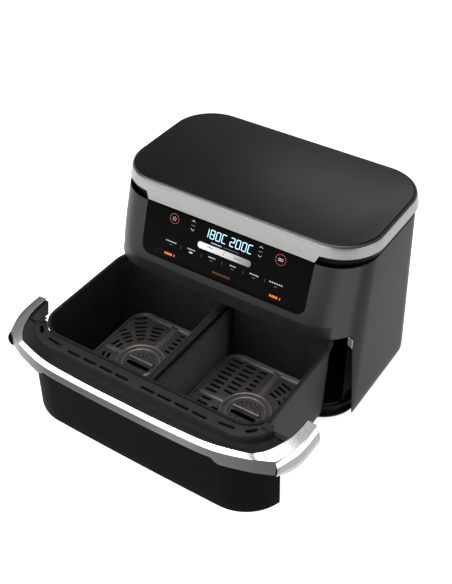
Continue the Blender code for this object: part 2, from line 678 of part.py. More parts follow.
def handle_sections(depth_from, depth_to):
    """Cross-sections of a layer of the handle, from the left wing to the right wing.

    The layer lies between two depths behind the handle's outer face."""
    order = list(range(HANDLE_STATIONS - 1, 0, -1)) + list(range(HANDLE_STATIONS))
    signs = [-1] * (HANDLE_STATIONS - 1) + [1] * HANDLE_STATIONS
    outer = [(s * handle_station(t)[0][0], handle_station(t)[0][1]) for s, t in zip(signs, order)]
    inner = [(s * handle_station(t)[1][0], handle_station(t)[1][1]) for s, t in zip(signs, order)]
    face = inset_line(outer, depth_from)
    back = inset_line(outer, depth_to)
    sections = []
    for t, a, b, c, d in zip(order, face, back, inner, outer):
        _, _, crease, low = handle_station(t)
        across = Vector((c[0] - d[0], c[1] - d[1]))
        lean = across.normalized() * min(0.0015, across.length)
        sections.append((a, b, c, crease, low, lean))
    return sections


def build_handle(mats, drawer):
    """The bright steel skin of the handle and the dark core behind it."""
    skin = 0.0012
    sections = []
    for a, b, c, crease, low, lean in handle_sections(0.0, skin):
        foot = (a[0] + lean.x, a[1] + lean.y)
        foot_back = (b[0] + lean.x, b[1] + lean.y)
        sections.append([(*foot, low), (*a, low + 0.006), (*a, crease), (*c, HANDLE_TOP),
                         (*c, HANDLE_TOP - skin), (*b, crease - skin), (*b, low + 0.006), (*foot_back, low)])
    add_object("handle_trim", sweep(sections), mats["steel"], drawer)

    # the core fills the skin, and its tongue runs back between the drawer front and the ledge
    tongues = [0.0140] * (HANDLE_STATIONS - 4) + [0.0060, 0.0008, 0.0008, 0.0008]
    depths = list(reversed(tongues[1:])) + tongues
    sections = []
    for depth, (a, _, c, crease, low, lean) in zip(depths, handle_sections(skin + 0.0012, 0.0105)):
        face = Vector(a) + lean
        across = (Vector(c) - face).normalized()
        back = Vector(c) - across * 0.0006
        tongue = Vector(c) + across * depth
        front_top = Vector(a) + across * 0.0004
        sections.append([(*face, low + 0.0002), (*front_top, crease - skin - 0.0022),
                         (*back, HANDLE_TOP - skin - 0.0016), (*back, TONGUE_TOP), (*tongue, TONGUE_TOP),
                         (*tongue, FASCIA_TOP + 0.0005), (*back, FASCIA_TOP + 0.0005),
                         (*back, low + 0.0002)])
    add_object("handle_core", sweep(sections), mats["dark_grip"], drawer)


def build_magnet(mats, drawer):
    """The magnet that tells the housing that the drawer is shut."""
    add_object("drawer_magnet", box((-0.010, 0.0945, 0.120), (0.010, 0.0975, 0.132)), mats["steel"], drawer,
               smooth=False)


# ---------------------------------------------------------------- divider and crisper plates
def build_divider(mats, body):
    """A flat wall between the two zones and the soft seal over its edges."""
    front, rear = -0.1365, 0.0800
    low, top = PAN_BOTTOM + PAN_SHEET + 0.0008, DIVIDER_TOP
    half = 0.0012

    def outline(front_y, rear_y, z_low, z_high, radius):
        ring = []
        for y, z, start in ((front_y + radius, z_low + radius, 180), (rear_y - radius, z_low + radius, 270),
                            (rear_y - radius, z_high - radius, 0), (front_y + radius, z_high - radius, 90)):
            for i in range(4):
                angle = math.radians(start + 30 * i)
                ring.append((y + radius * math.cos(angle), z + radius * math.sin(angle)))
        return ring

    face = outline(front, rear, low, top - 0.006, 0.010)
    rings = [[(x, y, z) for y, z in face] for x in (-half, half)]
    add_object("divider_plate", loft(rings), mats["warm_metal"], body)
    cap = [(-0.0045, top - 0.0065), (-0.0045, top - 0.0010), (-0.0030, top),
           (0.0030, top), (0.0045, top - 0.0010),
           (0.0045, top - 0.0065), (half + 0.0003, top - 0.0115), (half + 0.0003, top - 0.0057),
           (-half - 0.0003, top - 0.0057), (-half - 0.0003, top - 0.0115)]
    rings = [[(x, y, z) for x, z in cap] for y in (front - 0.0005, rear + 0.0005)]
    add_object("divider_seal", loft(rings), mats["seal"], body)


def build_crisper(side, sign, mats, body):
    """One perforated crisper plate with a raised edge, a round grip boss and four soft feet."""
    def ring(extra, z):
        low, high = PLATE_INNER - extra, PLATE_OUTER + extra
        points = plan((high - low) / 2, PLATE_FRONT - extra, PLATE_REAR + extra, 0.030, 0.030,
                      front_points=0)
        middle = (low + high) / 2
        return [(sign * (x + middle), y, z) for x, y in points]

    under = PLATE_TOP - PLATE_THICK
    rings = [ring(-0.004, under), ring(0.0, under + 0.0035), ring(0.0, PLATE_TOP + 0.0035),
             ring(-0.0022, PLATE_TOP + 0.0035), ring(-0.0055, PLATE_TOP)]
    plate = add_object(f"{side}_crisper_plate", loft(rings), mats["warm_metal"], body)
    cuts = []
    for row in range(8):
        y = 0.0670 - row * 0.0111
        for column, length in ((0.0300, 0.0200), (0.0560, 0.0200), (0.0790, 0.0120)):
            if math.hypot(BOSS_X - column, y - BOSS_Y) > 0.0480:
                cuts.append(slot_through((sign * column, y), 0.0, length, 0.0042))
    for radius in (0.0580, 0.0675, 0.0770, 0.0870):
        for degrees in (14.0, 33.5, 53.0, 72.5):
            angle = math.radians(degrees)
            x = BOSS_X + radius * math.cos(angle)
            y = BOSS_Y + radius * math.sin(angle)
            if x < PLATE_OUTER - 0.0100 and y < 0.0660:
                length = 0.24 * radius
                cuts.append(slot_through((sign * x, y), sign * (angle + math.pi / 2), length, 0.0042))
    cuts.append(box((sign * BOSS_X - 0.0190, BOSS_Y - 0.0105, 0.030),
                    (sign * BOSS_X + 0.0190, BOSS_Y - 0.0035, 0.060)))
    boolean(plate, cutter(f"{side}_plate_cutter", joined(cuts), body))

    corners = ((0.032, -0.108), (0.160, -0.108), (0.032, 0.062), (0.160, 0.062))
    for number, (x, y) in enumerate(corners, start=1):
        bumper = turned([(0.0045, PAN_BOTTOM + PAN_SHEET + 0.0006),
                         (0.0050, PAN_BOTTOM + PAN_SHEET + 0.0016),
                         (0.0038, under - GAP)], 12)
        add_object(f"{side}_plate_bumper_{number}", bumper, mats["rubber"], body, location=(sign * x, y, 0))


def slot_through(centre, angle, length, width):
    """A round-ended slot through a crisper plate."""
    radius = width / 2
    reach = length / 2 - radius
    ring = []
    for side, start in ((1, -90), (-1, 90)):
        for i in range(4):
            turn = math.radians(start + 60 * i)
            x = side * reach + radius * math.cos(turn)
            y = radius * math.sin(turn)
            ring.append((centre[0] + x * math.cos(angle) - y * math.sin(angle),
                         centre[1] + x * math.sin(angle) + y * math.cos(angle)))
    return loft([at(ring, z) for z in (PLATE_TOP - 0.010, PLATE_TOP + 0.010)])


# ---------------------------------------------------------------- fans
def build_fan(side, mats, axle):
    """What turns on one motor: shaft, hot-air impeller and the small cooling fan on top."""
    add_object(f"{side}_fan_shaft", turned([(SHAFT_RADIUS - 0.0006, 0.1960), (SHAFT_RADIUS, 0.1966),
                                            (SHAFT_RADIUS, 0.2620)], 16), mats["steel"], axle)
    bore = SHAFT_RADIUS + GAP
    bladed_wheel(f"{side}_impeller", (0.0440, 0.1990, 0.0010, 0.0110, 9), mats["liner_steel"], axle)
    bladed_wheel(f"{side}_cooling_fan", (0.0300, 0.2520, 0.0012, 0.0075, 7), mats["black_plastic"], axle)


def bladed_wheel(name, sizes, mat, axle):
    """A disc and hub with flat blades standing on the disc."""
    radius, z, disc, blade, count = sizes
    bore, hub = SHAFT_RADIUS + GAP, 0.0085
    top = z + disc + blade
    profile = [(bore, z), (radius, z), (radius, z + disc), (hub, z + disc), (hub, top), (bore, top)]
    wheel = add_object(name, turned(profile, 24, closed=True), mat, axle)
    blades = []
    for i in range(count):
        part = box((hub - 0.0010, -0.0007, z + disc / 2), (radius - 0.0012, 0.0007, top - 0.0006))
        bmesh.ops.rotate(part, verts=part.verts, matrix=Matrix.Rotation(2 * math.pi * i / count, 3, "Z"))
        blades.append(part)
    boolean(wheel, cutter(f"{name}_blades", joined(blades), axle), "UNION")


def main():
    clear_scene()
    mats = {
        "gunmetal": material("gunmetal_paint", (0.105, 0.107, 0.110), 0.42, 0.55),
        "black_plastic": material("black_plastic", (0.020, 0.020, 0.021), 0.50),
        "gloss_black": material("gloss_black", (0.008, 0.008, 0.009), 0.12),
        "steel": material("brushed_steel", (0.60, 0.59, 0.58), 0.28, 1.0),
        "liner_steel": material("liner_steel", (0.42, 0.42, 0.42), 0.40, 1.0),
        "nonstick": material("nonstick_coating", (0.016, 0.016, 0.017), 0.45),
        "warm_metal": material("crisper_metal", (0.045, 0.040, 0.036), 0.42, 0.4),
        "dark_grip": material("dark_grip", (0.035, 0.035, 0.036), 0.55),
        "seal": material("divider_seal", (0.050, 0.058, 0.052), 0.60),
        "rubber": material("rubber", (0.030, 0.030, 0.030), 0.80),
        "board": material("circuit_board", (0.030, 0.110, 0.055), 0.50),
        "element": material("heating_element", (0.16, 0.15, 0.14), 0.45, 0.8),
        "motor": material("motor_can", (0.30, 0.30, 0.31), 0.40, 0.9),
    }
    appliance = empty("appliance", (0.0, CENTRE_SHIFT, 0.0))
    drawer = empty("drawer_open_position", (0.0, -DRAWER_OPEN, 0.0), appliance)

    build_wrap(mats, appliance)
    build_top(mats, appliance)
    build_front_controls(mats, appliance)
    build_base(mats, appliance)
    build_liner(mats, appliance)
    build_inner_services(mats, appliance)
    for side, sign in (("left", -1), ("right", 1)):
        build_zone(side, sign * ZONE_X, mats, appliance)
        build_fan(side, mats, empty(f"{side}_fan_axis", (sign * ZONE_X, ZONE_Y, 0.0), appliance))
        build_crisper(side, sign, mats, drawer)
    build_pan(mats, drawer)
    build_fascia(mats, drawer)
    build_ledge(mats, drawer)
    build_handle(mats, drawer)
    build_magnet(mats, drawer)
    build_divider(mats, drawer)


main()
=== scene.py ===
import math

import bmesh
import bpy
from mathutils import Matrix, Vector


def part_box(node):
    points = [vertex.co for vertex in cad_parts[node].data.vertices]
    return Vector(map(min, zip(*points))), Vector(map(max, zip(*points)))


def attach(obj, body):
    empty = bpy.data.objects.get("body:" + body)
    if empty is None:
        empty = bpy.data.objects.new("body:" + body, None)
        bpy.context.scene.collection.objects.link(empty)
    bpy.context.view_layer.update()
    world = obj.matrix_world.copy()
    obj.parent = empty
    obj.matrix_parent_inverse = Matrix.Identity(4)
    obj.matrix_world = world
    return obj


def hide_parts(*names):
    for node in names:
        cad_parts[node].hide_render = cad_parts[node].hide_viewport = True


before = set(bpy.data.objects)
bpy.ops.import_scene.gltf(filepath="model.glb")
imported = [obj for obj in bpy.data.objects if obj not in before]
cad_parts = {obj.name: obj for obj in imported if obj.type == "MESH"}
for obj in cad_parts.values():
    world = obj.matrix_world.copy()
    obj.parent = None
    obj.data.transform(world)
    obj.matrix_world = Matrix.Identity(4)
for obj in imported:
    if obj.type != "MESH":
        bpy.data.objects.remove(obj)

SCENE = bpy.context.scene
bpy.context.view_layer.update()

# ---------------------------------------------------------------- camera
camera_data = bpy.data.cameras.new("camera")
camera = bpy.data.objects.new("camera", camera_data)
camera.location = (0.6386, -0.9680, 1.1422)
camera.rotation_euler = (math.radians(90 - 39.752), 0.0, math.radians(33.174))
camera_data.lens = 59.34
camera_data.sensor_width = 36.0
camera_data.sensor_fit = "AUTO"
camera_data.clip_start = 0.01
SCENE.collection.objects.link(camera)
SCENE.camera = camera

# ---------------------------------------------------------------- places taken from the CAD
wrap_low, wrap_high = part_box("housing_wrap")
pan_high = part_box("pan")[1]
HOUSE = wrap_high[1] - 0.1210
DRAWER = pan_high[1] - 0.0950
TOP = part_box("top_cover")[1][2]
RIM = pan_high[2]
LIP = 0.1730
CREASE = 0.1925
WRAP_TOP = wrap_high[2]
WRAP_FOOT = wrap_low[2]
HALF = wrap_high[0]
DRAFT = 0.040
SIDE_EDGE = -0.1150
PANEL_HALF = 0.1494


# ---------------------------------------------------------------- materials
class Paint:
    """A material while it is wired up. Sockets are named as in Blender, with _ for a space."""

    def __init__(self, name, **values):
        self.mat = bpy.data.materials.new(name)
        self.mat.use_nodes = True
        self.look(**values)

    def fill(self, node, values):
        for socket, value in values.items():
            target = node.inputs[socket.replace("_", " ")]
            if isinstance(value, bpy.types.NodeSocket):
                self.mat.node_tree.links.new(value, target)
            else:
                target.default_value = value

    def look(self, **values):
        """Sets or links inputs of the surface shader."""
        self.fill(self.mat.node_tree.nodes["Principled BSDF"], values)

    def node(self, kind, output, operation=None, **values):
        """Adds a node, fills its inputs and gives one of its outputs."""
        node = self.mat.node_tree.nodes.new("ShaderNode" + kind)
        if operation:
            node.operation = operation
        self.fill(node, values)
        return node.outputs[output]

    def ramp(self, source, stops, interpolation="LINEAR"):
        """A colour that follows a value; a stop is (spot, colour), the two end stops first."""
        node = self.mat.node_tree.nodes.new("ShaderNodeValToRGB")
        node.color_ramp.interpolation = interpolation
        elements = node.color_ramp.elements
        for number, (spot, colour) in enumerate(stops):
            stop = elements[number] if number < 2 else elements.new(spot)
            stop.position = spot
            stop.color = (*colour, 1)
        self.fill(node, {"Fac": source})
        return node.outputs["Color"]

    def place(self):
        return self.node("TexCoord", "Object")

    def relief(self, where, scale, strength):
        height = self.node("TexNoise", "Fac", Vector=where, Scale=scale)
        self.look(Normal=self.node("Bump", "Normal", Height=height, Strength=strength, Distance=0.0002))


def finish(name, dark, light, rough, metallic=0.0, grain=60.0, stretch=(1, 1, 1), bump=0.0, bump_scale=900.0,
           spread=0.05, specular=0.5, warm=0.0):
    """A surface whose colour and roughness drift a little, with an optional fine relief.

    Dark and light are screen greys or linear colours."""
    paint = Paint(name, Metallic=metallic, Specular_IOR_Level=specular)
    where = paint.node("Mapping", "Vector", Vector=paint.place(), Scale=stretch)
    noise = paint.node("TexNoise", "Fac", Vector=where, Scale=grain, Detail=4.0)
    paint.look(Base_Color=paint.ramp(noise, ((0.35, grey(dark, warm)), (0.65, grey(light, warm)))),
               Roughness=paint.node("MapRange", "Result", Value=noise, To_Min=max(rough - spread, 0.03),
                                    To_Max=rough + spread))
    if bump:
        paint.relief(where, bump_scale, bump)
    return paint.mat


def grey(value, warm=0.0):
    """A linear grey for a screen value from 0 to 255, a little warm if asked; a colour stays as it is."""
    if isinstance(value, tuple):
        return value
    linear = (value / 255) ** 2.2
    return (linear * (1 + warm), linear, linear * (1 - warm))


def glowing(name, colour, strength):
    """A printed or lit colour that gives off some light of its own; on print that glow is painted light."""
    paint = Paint(name, Emission_Strength=strength, Roughness=0.5)
    noise = paint.node("TexNoise", "Fac", Vector=paint.place(), Scale=300.0)
    tone = paint.ramp(noise, ((0.0, [part * 0.92 for part in colour]), (1.0, colour)))
    paint.look(Base_Color=tone, Emission_Color=tone)
    return paint.mat


M = {
    # The chin's darker copy of the housing paint is painted shade.
    "chin": finish("gunmetal_shadow_side", 38, 43, 0.42, 0.30, 30, (1, 1, 0.2), 0.08, 2500, 0.02,
                   specular=0.2),
    "lid": finish("lid_black", 13, 16, 0.36, 0.0, 20, bump=0.05, bump_scale=1800, specular=0.20),
    "band": finish("band_steel", 138, 148, 0.32, 0.9, 40, (0.3, 0.3, 30), 0.05, 500, 0.03, warm=0.01),
    "collar": finish("collar_black", 12, 16, 0.55, 0.0, 80, bump=0.05, specular=0.15),
    "panel": finish("panel_gloss_black", 9, 11, 0.14, 0.0, 12, spread=0.02, specular=0.028),
    "band_dark": finish("panel_dark_strip", 5, 7, 0.20, 0.0, 12, spread=0.02, specular=0.05),
    "base": finish("base_black", 20, 24, 0.50, 0.0, 90, bump=0.10, bump_scale=2200, specular=0.20),
    "pan_out": finish("pan_coating", 37, 42, 0.46, 0.0, 60, bump=0.08, bump_scale=1800, specular=0.05),
    "ledge": finish("ledge_plastic", 34, 38, 0.50, 0.0, 70, bump=0.12, bump_scale=2400, specular=0.22),
    "fascia": finish("fascia_plastic", 12, 15, 0.58, 0.0, 80, bump=0.12, bump_scale=2400, specular=0.02,
                     warm=0.05),
    "grip": finish("grip_plastic", 26, 30, 0.52, 0.0, 80, bump=0.12, bump_scale=2400, specular=0.15),
    "plate": finish("crisper_coating", 78, 88, 0.36, 0.35, 90, bump=0.10, bump_scale=1500, warm=0.07),
    "divider": finish("divider_coating", 130, 142, 0.42, 0.25, 70, bump=0.08, bump_scale=1500, warm=0.07),
    "seal": finish("seal_rubber", 30, 35, 0.45, 0.0, 90, bump=0.08, bump_scale=1200, specular=0.25,
                   warm=-0.06),
    "rubber": finish("foot_rubber", 30, 36, 0.80, 0.0, 90, bump=0.2, bump_scale=1200, specular=0.2),
    "liner": finish("liner_steel", 110, 128, 0.42, 0.9, 30, (1, 1, 8), 0.06, 600),
    "black": finish("inner_black", 26, 30, 0.60, 0.0, 80, bump=0.05, specular=0.15),
    "steel": finish("plain_steel", 180, 196, 0.30, 0.9, 60, (1, 1, 12), 0.04, 600),
    "motor": finish("motor_can", 130, 150, 0.40, 0.9, 50),
    "element": finish("element_sheath", 70, 96, 0.50, 0.7, 160, bump=0.1, warm=0.05),
    "board": finish("circuit_board", (0.010, 0.060, 0.030), (0.020, 0.090, 0.045), 0.45, 0.0, 300),
    # The printed marks glow a little: painted light.
    "print": glowing("printed_marks", (0.50, 0.50, 0.50), 0.25),
    "dim_print": glowing("dim_marks", (0.10, 0.10, 0.10), 0.10),
    "lit": glowing("lit_segments", (0.42, 0.68, 0.86), 0.80),
    "orange": glowing("orange_marks", (0.80, 0.17, 0.03), 0.60),
    "dim_orange": glowing("dim_orange_marks", (0.12, 0.020, 0.008), 0.30),
    "ring": glowing("ring_marks", (0.34, 0.050, 0.030), 0.50),
    # A darker copy of the band steel for its up-facing faces: painted shade.
    "band_top_shade": finish("band_top_painted_shade", 84, 92, 0.34, 0.9, 40, spread=0.03),
    # A darker copy of the handle steel for its lower lip and ends: painted shade.
    "handle_lip_shade": finish("handle_lip_painted_shade", 58, 66, 0.40, 0.8, 40, spread=0.03),
    # A lighter copy of the crisper coating for the raised rings and ridges: painted highlight.
    "relief": finish("crisper_relief_painted_highlight", 118, 130, 0.30, 0.5, 90, bump=0.06, bump_scale=1500,
                     warm=0.07),
    "floor": finish("floor_white", (0.80, 0.80, 0.80), (0.82, 0.82, 0.82), 0.85, 0.0, 4, specular=0.1),
}


def paint_light_by_side(name, stops, rough, metallic, specular):
    """Satin paint whose tone depends on how far its surface turns to the side; the tone is painted light, a
    painted highlight down the front corners and painted shade on the sides.
    """
    paint = Paint(name, Roughness=rough, Metallic=metallic, Specular_IOR_Level=specular)
    sideways = paint.node("SeparateXYZ", "X", Vector=paint.node("NewGeometry", "Normal"))
    size = paint.node("Math", "Value", "ABSOLUTE", Value=sideways)
    paint.look(Base_Color=paint.ramp(size, [(spot, grey(value)) for spot, value in stops], "EASE"))
    paint.relief(paint.place(), 2500.0, 0.08)
    return paint.mat


def steel_with_painted_light(name, stops, rough):
    """Brushed steel whose tone shifts from left to right, a shift that is painted light, painted highlights
    and painted reflections; a stop is (x, screen value).
    """
    reach = 0.26
    paint = Paint(name, Metallic=0.95)
    place = paint.place()
    across = paint.node("SeparateXYZ", "X", Vector=place)
    share = paint.node("MapRange", "Result", Value=across, From_Min=-reach, From_Max=reach)
    tone = paint.ramp(share, [((x + reach) / (2 * reach), grey(value)) for x, value in stops], "EASE")
    where = paint.node("Mapping", "Vector", Vector=place, Scale=(0.6, 6.0, 40.0))
    lines = paint.node("TexNoise", "Fac", Vector=where, Scale=60.0)
    paint.look(Base_Color=tone, Roughness=paint.node("MapRange", "Result", Value=lines, To_Min=rough - 0.03,
                                                     To_Max=rough + 0.03))
    return paint.mat


# The housing's tone ramp is painted light: a painted highlight where the front corners turn, painted shade on
# the flat sides.
M["gunmetal"] = paint_light_by_side(
    "gunmetal_paint", ((0.0, 55), (1.0, 24), (0.35, 50), (0.62, 68), (0.80, 66), (0.93, 38)), 0.42, 0.15,
    0.07)
# The mode bar's tone, bright at the left and darker to the right, is painted light.
M["pill"] = steel_with_painted_light("mode_bar_painted_light", ((-0.26, 215), (0.26, 110), (-0.045, 212), (0.0, 190),
                                           (0.048, 120)), 0.30)
# The handle front's tone stops are painted reflections: bright at the wings, darker across the front with a
# lighter patch right of the middle.
M["handle_face"] = steel_with_painted_light(
    "handle_front_painted_reflections", ((-0.26, 138), (0.26, 138), (-0.243, 138), (-0.236, 70), (-0.10, 58), (0.02, 74),
                           (0.10, 98), (0.16, 82), (0.238, 72), (0.244, 136)), 0.28)
# A bright copy of the handle steel for the wing's top and bottom edges: painted highlight.
M["handle_polish"] = steel_with_painted_light("handle_polished_edge", ((-0.26, 158), (0.26, 158)), 0.22)
# The chamfer's tone, darker at the left and near white towards the right, is a painted highlight.
M["handle_top"] = steel_with_painted_light(
    "handle_chamfer_painted_highlight", ((-0.26, 120), (0.26, 225), (-0.235, 190), (-0.20, 235), (0.20, 240)), 0.24)


def paint_light_on_tops(obj, mat, level=0.30):
    """Gives the faces that look up a second material: painted light, a painted highlight on the handle's
    chamfer and painted shade on the band's top.
    """
    obj.data.materials.append(mat)
    for face in obj.data.polygons:
        if face.normal.z > level:
            face.material_index = 1


# ---------------------------------------------------------------- mesh helpers
def as_object(name, bm):
    mesh = bpy.data.meshes.new(name)
    bm.to_mesh(mesh)
    bm.free()
    obj = bpy.data.objects.new(name, mesh)
    SCENE.collection.objects.link(obj)
    return obj


def shade(mesh, angle):
    mesh.shade_smooth()
    mesh.set_sharp_from_angle(angle=math.radians(angle))


def put(name, bm, mat, body, angle=32):
    """Makes a bmesh into a named piece that rides on a body."""
    bmesh.ops.remove_doubles(bm, verts=bm.verts, dist=0.000002)
    bmesh.ops.recalc_face_normals(bm, faces=bm.faces)
    if all(edge.is_manifold for edge in bm.edges) and bm.calc_volume(signed=True) < 0:
        bmesh.ops.reverse_faces(bm, faces=bm.faces)
    obj = as_object(name, bm)
    shade(obj.data, angle)
    obj.data.materials.append(mat)
    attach(obj, body)
    return obj


def loft(rows, around=True, caps=True, loop=False, bm=None):
    """Skins rows of points; around closes each row, loop joins the last row to the first."""
    bm = bm or bmesh.new()
    verts = [[bm.verts.new(p) for p in row] for row in rows]
    count = len(verts[0])
    pairs = list(zip(verts, verts[1:]))
    if loop:
        pairs.append((verts[-1], verts[0]))
    for low, high in pairs:
        for i in range(count if around else count - 1):
            j = (i + 1) % count
            bm.faces.new((low[i], low[j], high[j], high[i]))
    if caps and not loop:
        bm.faces.new(list(reversed(verts[0])))
        bm.faces.new(verts[-1])
    return bm


def block(low, high, bm=None):
    plan_points = [(low[0], low[1]), (high[0], low[1]), (high[0], high[1]), (low[0], high[1])]
    return loft([[(x, y, z) for x, y in plan_points] for z in (low[2], high[2])], bm=bm)


def hidden(name, bm):
    """A cutter: it isn't shown and isn't a piece."""
    bmesh.ops.recalc_face_normals(bm, faces=bm.faces)
    return as_object(name, bm)


def cut(obj, *cutters):
    """Cuts solids out of a piece, and keeps the result as the piece's own mesh."""
    for tool in cutters:
        mod = obj.modifiers.new("cut", "BOOLEAN")
        mod.operation = "DIFFERENCE"
        mod.solver = "EXACT"
        mod.object = tool
    bpy.context.view_layer.update()
    done = bpy.data.meshes.new_from_object(obj.evaluated_get(bpy.context.evaluated_depsgraph_get()))
    done.name = obj.name
    obj.modifiers.clear()
    old = obj.data
    obj.data = done
    bpy.data.meshes.remove(old)
    shade(done, 32)
    for tool in cutters:
        bpy.data.objects.remove(tool, do_unlink=True)


def bevel(obj, width, segments=2, angle=35):
    mod = obj.modifiers.new("edge", "BEVEL")
    mod.width = width
    mod.segments = segments
    mod.limit_method = "ANGLE"
    mod.angle_limit = math.radians(angle)
    mod.harden_normals = False


def arc(x, y, radius, start, sweep, steps):
    """Points round an arc with both its ends, the angles in degrees."""
    angles = [math.radians(start + sweep * i / steps) for i in range(steps + 1)]
    return [(x + radius * math.cos(angle), y + radius * math.sin(angle)) for angle in angles]


def rounded(x0, y0, x1, y1, low, high=None, steps=6):
    """Rounded rectangle, anticlockwise from its lower left; high is the upper corners' own radius."""
    high = low if high is None else high
    ring = []
    for x, y, start, radius in ((x0 + low, y0 + low, 180, low), (x1 - low, y0 + low, 270, low),
                                (x1 - high, y1 - high, 0, high), (x0 + high, y1 - high, 90, high)):
        ring += arc(x, y, radius, start, 90, steps) if radius else [(x, y)]
    return ring


def evenly(reach, y, count):
    """Points between -reach and reach, without the ends."""
    return [(reach * (2 * i / (count + 1) - 1), y) for i in range(1, count + 1)]


def plan(half_x, front, rear, r_front, r_rear, bow=0.0, steps=20, front_points=24):
    """Rounded rectangle seen from above, anticlockwise; bow draws the front's ends back."""
    points = rounded(-half_x, front, half_x, rear, r_front, r_rear, steps)
    points[steps + 1:steps + 1] = evenly(half_x - r_front, front, front_points)
    middle = (front + rear) / 2
    return [(x, y + bow * (x / half_x) ** 2 * (1 if y < middle else 0)) for x, y in points]


def at(points, z, shift=0.0):
    return [(x, y + shift, z) for x, y in points]


def front_line(half, front, radius, end, steps=16, middle=24, bow=0.003):
    """Open plan line from the left end round the front to the right end."""
    centre = front + radius
    points = [(-half, end + (centre - end) * i / 6) for i in range(6)] if end > centre else []
    first = math.pi + (0.0 if end > centre else math.asin((centre - end) / radius))
    for i in range(steps + 1):
        angle = first + (1.5 * math.pi - first) * i / steps
        points.append((radius - half + radius * math.cos(angle), centre + radius * math.sin(angle)))
    corner = list(points)
    points += evenly(half - radius, front, middle)
    points += [(-x, y) for x, y in reversed(corner)]
    return [(x, y + bow * (x / half) ** 2) for x, y in points]


def square_to(points, i):
    """Unit vector across a line at its point i, towards its right side."""
    before, after = points[max(i - 1, 0)], points[min(i + 1, len(points) - 1)]
    return Vector((after[1] - before[1], before[0] - after[0])).normalized()


def inset_line(points, distance):
    """The same plan line moved towards its inner side."""
    sides = [square_to(points, i) for i in range(len(points))]
    return [(x - side.x * distance, y - side.y * distance) for (x, y), side in zip(points, sides)]


def spaced(line, count):
    """The same line as evenly spaced points."""
    lengths = [0.0]
    for start, end in zip(line, line[1:]):
        lengths.append(lengths[-1] + math.dist(start, end))
    points = []
    for i in range(count):
        goal = lengths[-1] * i / (count - 1)
        k = max(n for n in range(len(line) - 1) if lengths[n] <= goal + 1e-12)
        share = (goal - lengths[k]) / (lengths[k + 1] - lengths[k])
        points.append(tuple(a + (b - a) * share for a, b in zip(line[k], line[k + 1])))
    return points


def smooth_through(points, per_span=6):
    """A Catmull-Rom curve through the points (tuples of any length)."""
    out = []
    for i in range(len(points) - 1):
        p0, p1 = points[max(i - 1, 0)], points[i]
        p2, p3 = points[i + 1], points[min(i + 2, len(points) - 1)]
        for k in range(per_span):
            t = k / per_span
            out.append(tuple(0.5 * (2 * b + (c - a) * t + (2 * a - 5 * b + 4 * c - d) * t * t
                                    + (3 * b - a - 3 * c + d) * t ** 3) for a, b, c,
                                    d in zip(p0, p1, p2, p3)))
    out.append(points[-1])
    return out


def slot_solid(centre, angle, length, width, low, high, steps=8, bm=None):
    """A round-ended slot standing upright, or a round hole if it is no longer than wide."""
    radius = width / 2
    reach = max(length / 2 - radius, 0.0)
    ends = arc(reach, 0.0, radius, -90, 180, steps) + arc(-reach, 0.0, radius, 90, 180, steps)
    ring = [(centre[0] + x * math.cos(angle) - y * math.sin(angle),
             centre[1] + x * math.sin(angle) + y * math.cos(angle)) for x, y in ends]
    if reach == 0.0:
        ring = arc(*centre, radius, 0, 360, 12)[:-1]
    return loft([at(ring, z) for z in (low, high)], bm=bm)


# ---------------------------------------------------------------- housing
def side_half(z):
    return HALF - DRAFT * (z - WRAP_FOOT)


PANEL_TOP_FRONT, CREASE_FRONT, LIP_FRONT, REAR = -0.1275, -0.1570, -0.1600, 0.1210
SLOPE = math.atan2(PANEL_TOP_FRONT - CREASE_FRONT, WRAP_TOP - CREASE)


def front_y(z):
    """The housing front's depth at a height, with the crease a little rounded."""
    def sharp(h):
        if h <= CREASE:
            return LIP_FRONT + (h - LIP) / (CREASE - LIP) * (CREASE_FRONT - LIP_FRONT)
        return CREASE_FRONT + (h - CREASE) / (WRAP_TOP - CREASE) * (PANEL_TOP_FRONT - CREASE_FRONT)
    soft = 0.0022
    return sum(sharp(z + soft * k / 4) for k in range(-4, 5)) / 9


def housing_plan(z, inset=0.0):
    up = min(max((z - CREASE) / (WRAP_TOP - CREASE), 0.0), 1.0)
    corner = 0.075 - 0.008 * up
    bow = 0.0040 * (1 - up) ** 4
    return plan(side_half(z) - inset, front_y(z) + inset, REAR - inset, corner - inset, 0.0670 - inset, bow)


def on_slope(x, up, out):
    base = Vector((x, HOUSE + CREASE_FRONT, CREASE))
    along = Vector((0.0, math.sin(SLOPE), math.cos(SLOPE)))
    normal = Vector((0.0, -math.cos(SLOPE), math.sin(SLOPE)))
    return base + along * up + normal * out


def slope_outline(half, low, high, radius):
    """The panel's outline on the slope, with square upper corners."""
    return rounded(-half, low, half, high, radius, 0.0, 10)


def on_face(ring, out):
    return [on_slope(x, up, out) for x, up in ring]


SLOPE_LENGTH = math.hypot(PANEL_TOP_FRONT - CREASE_FRONT, WRAP_TOP - CREASE)


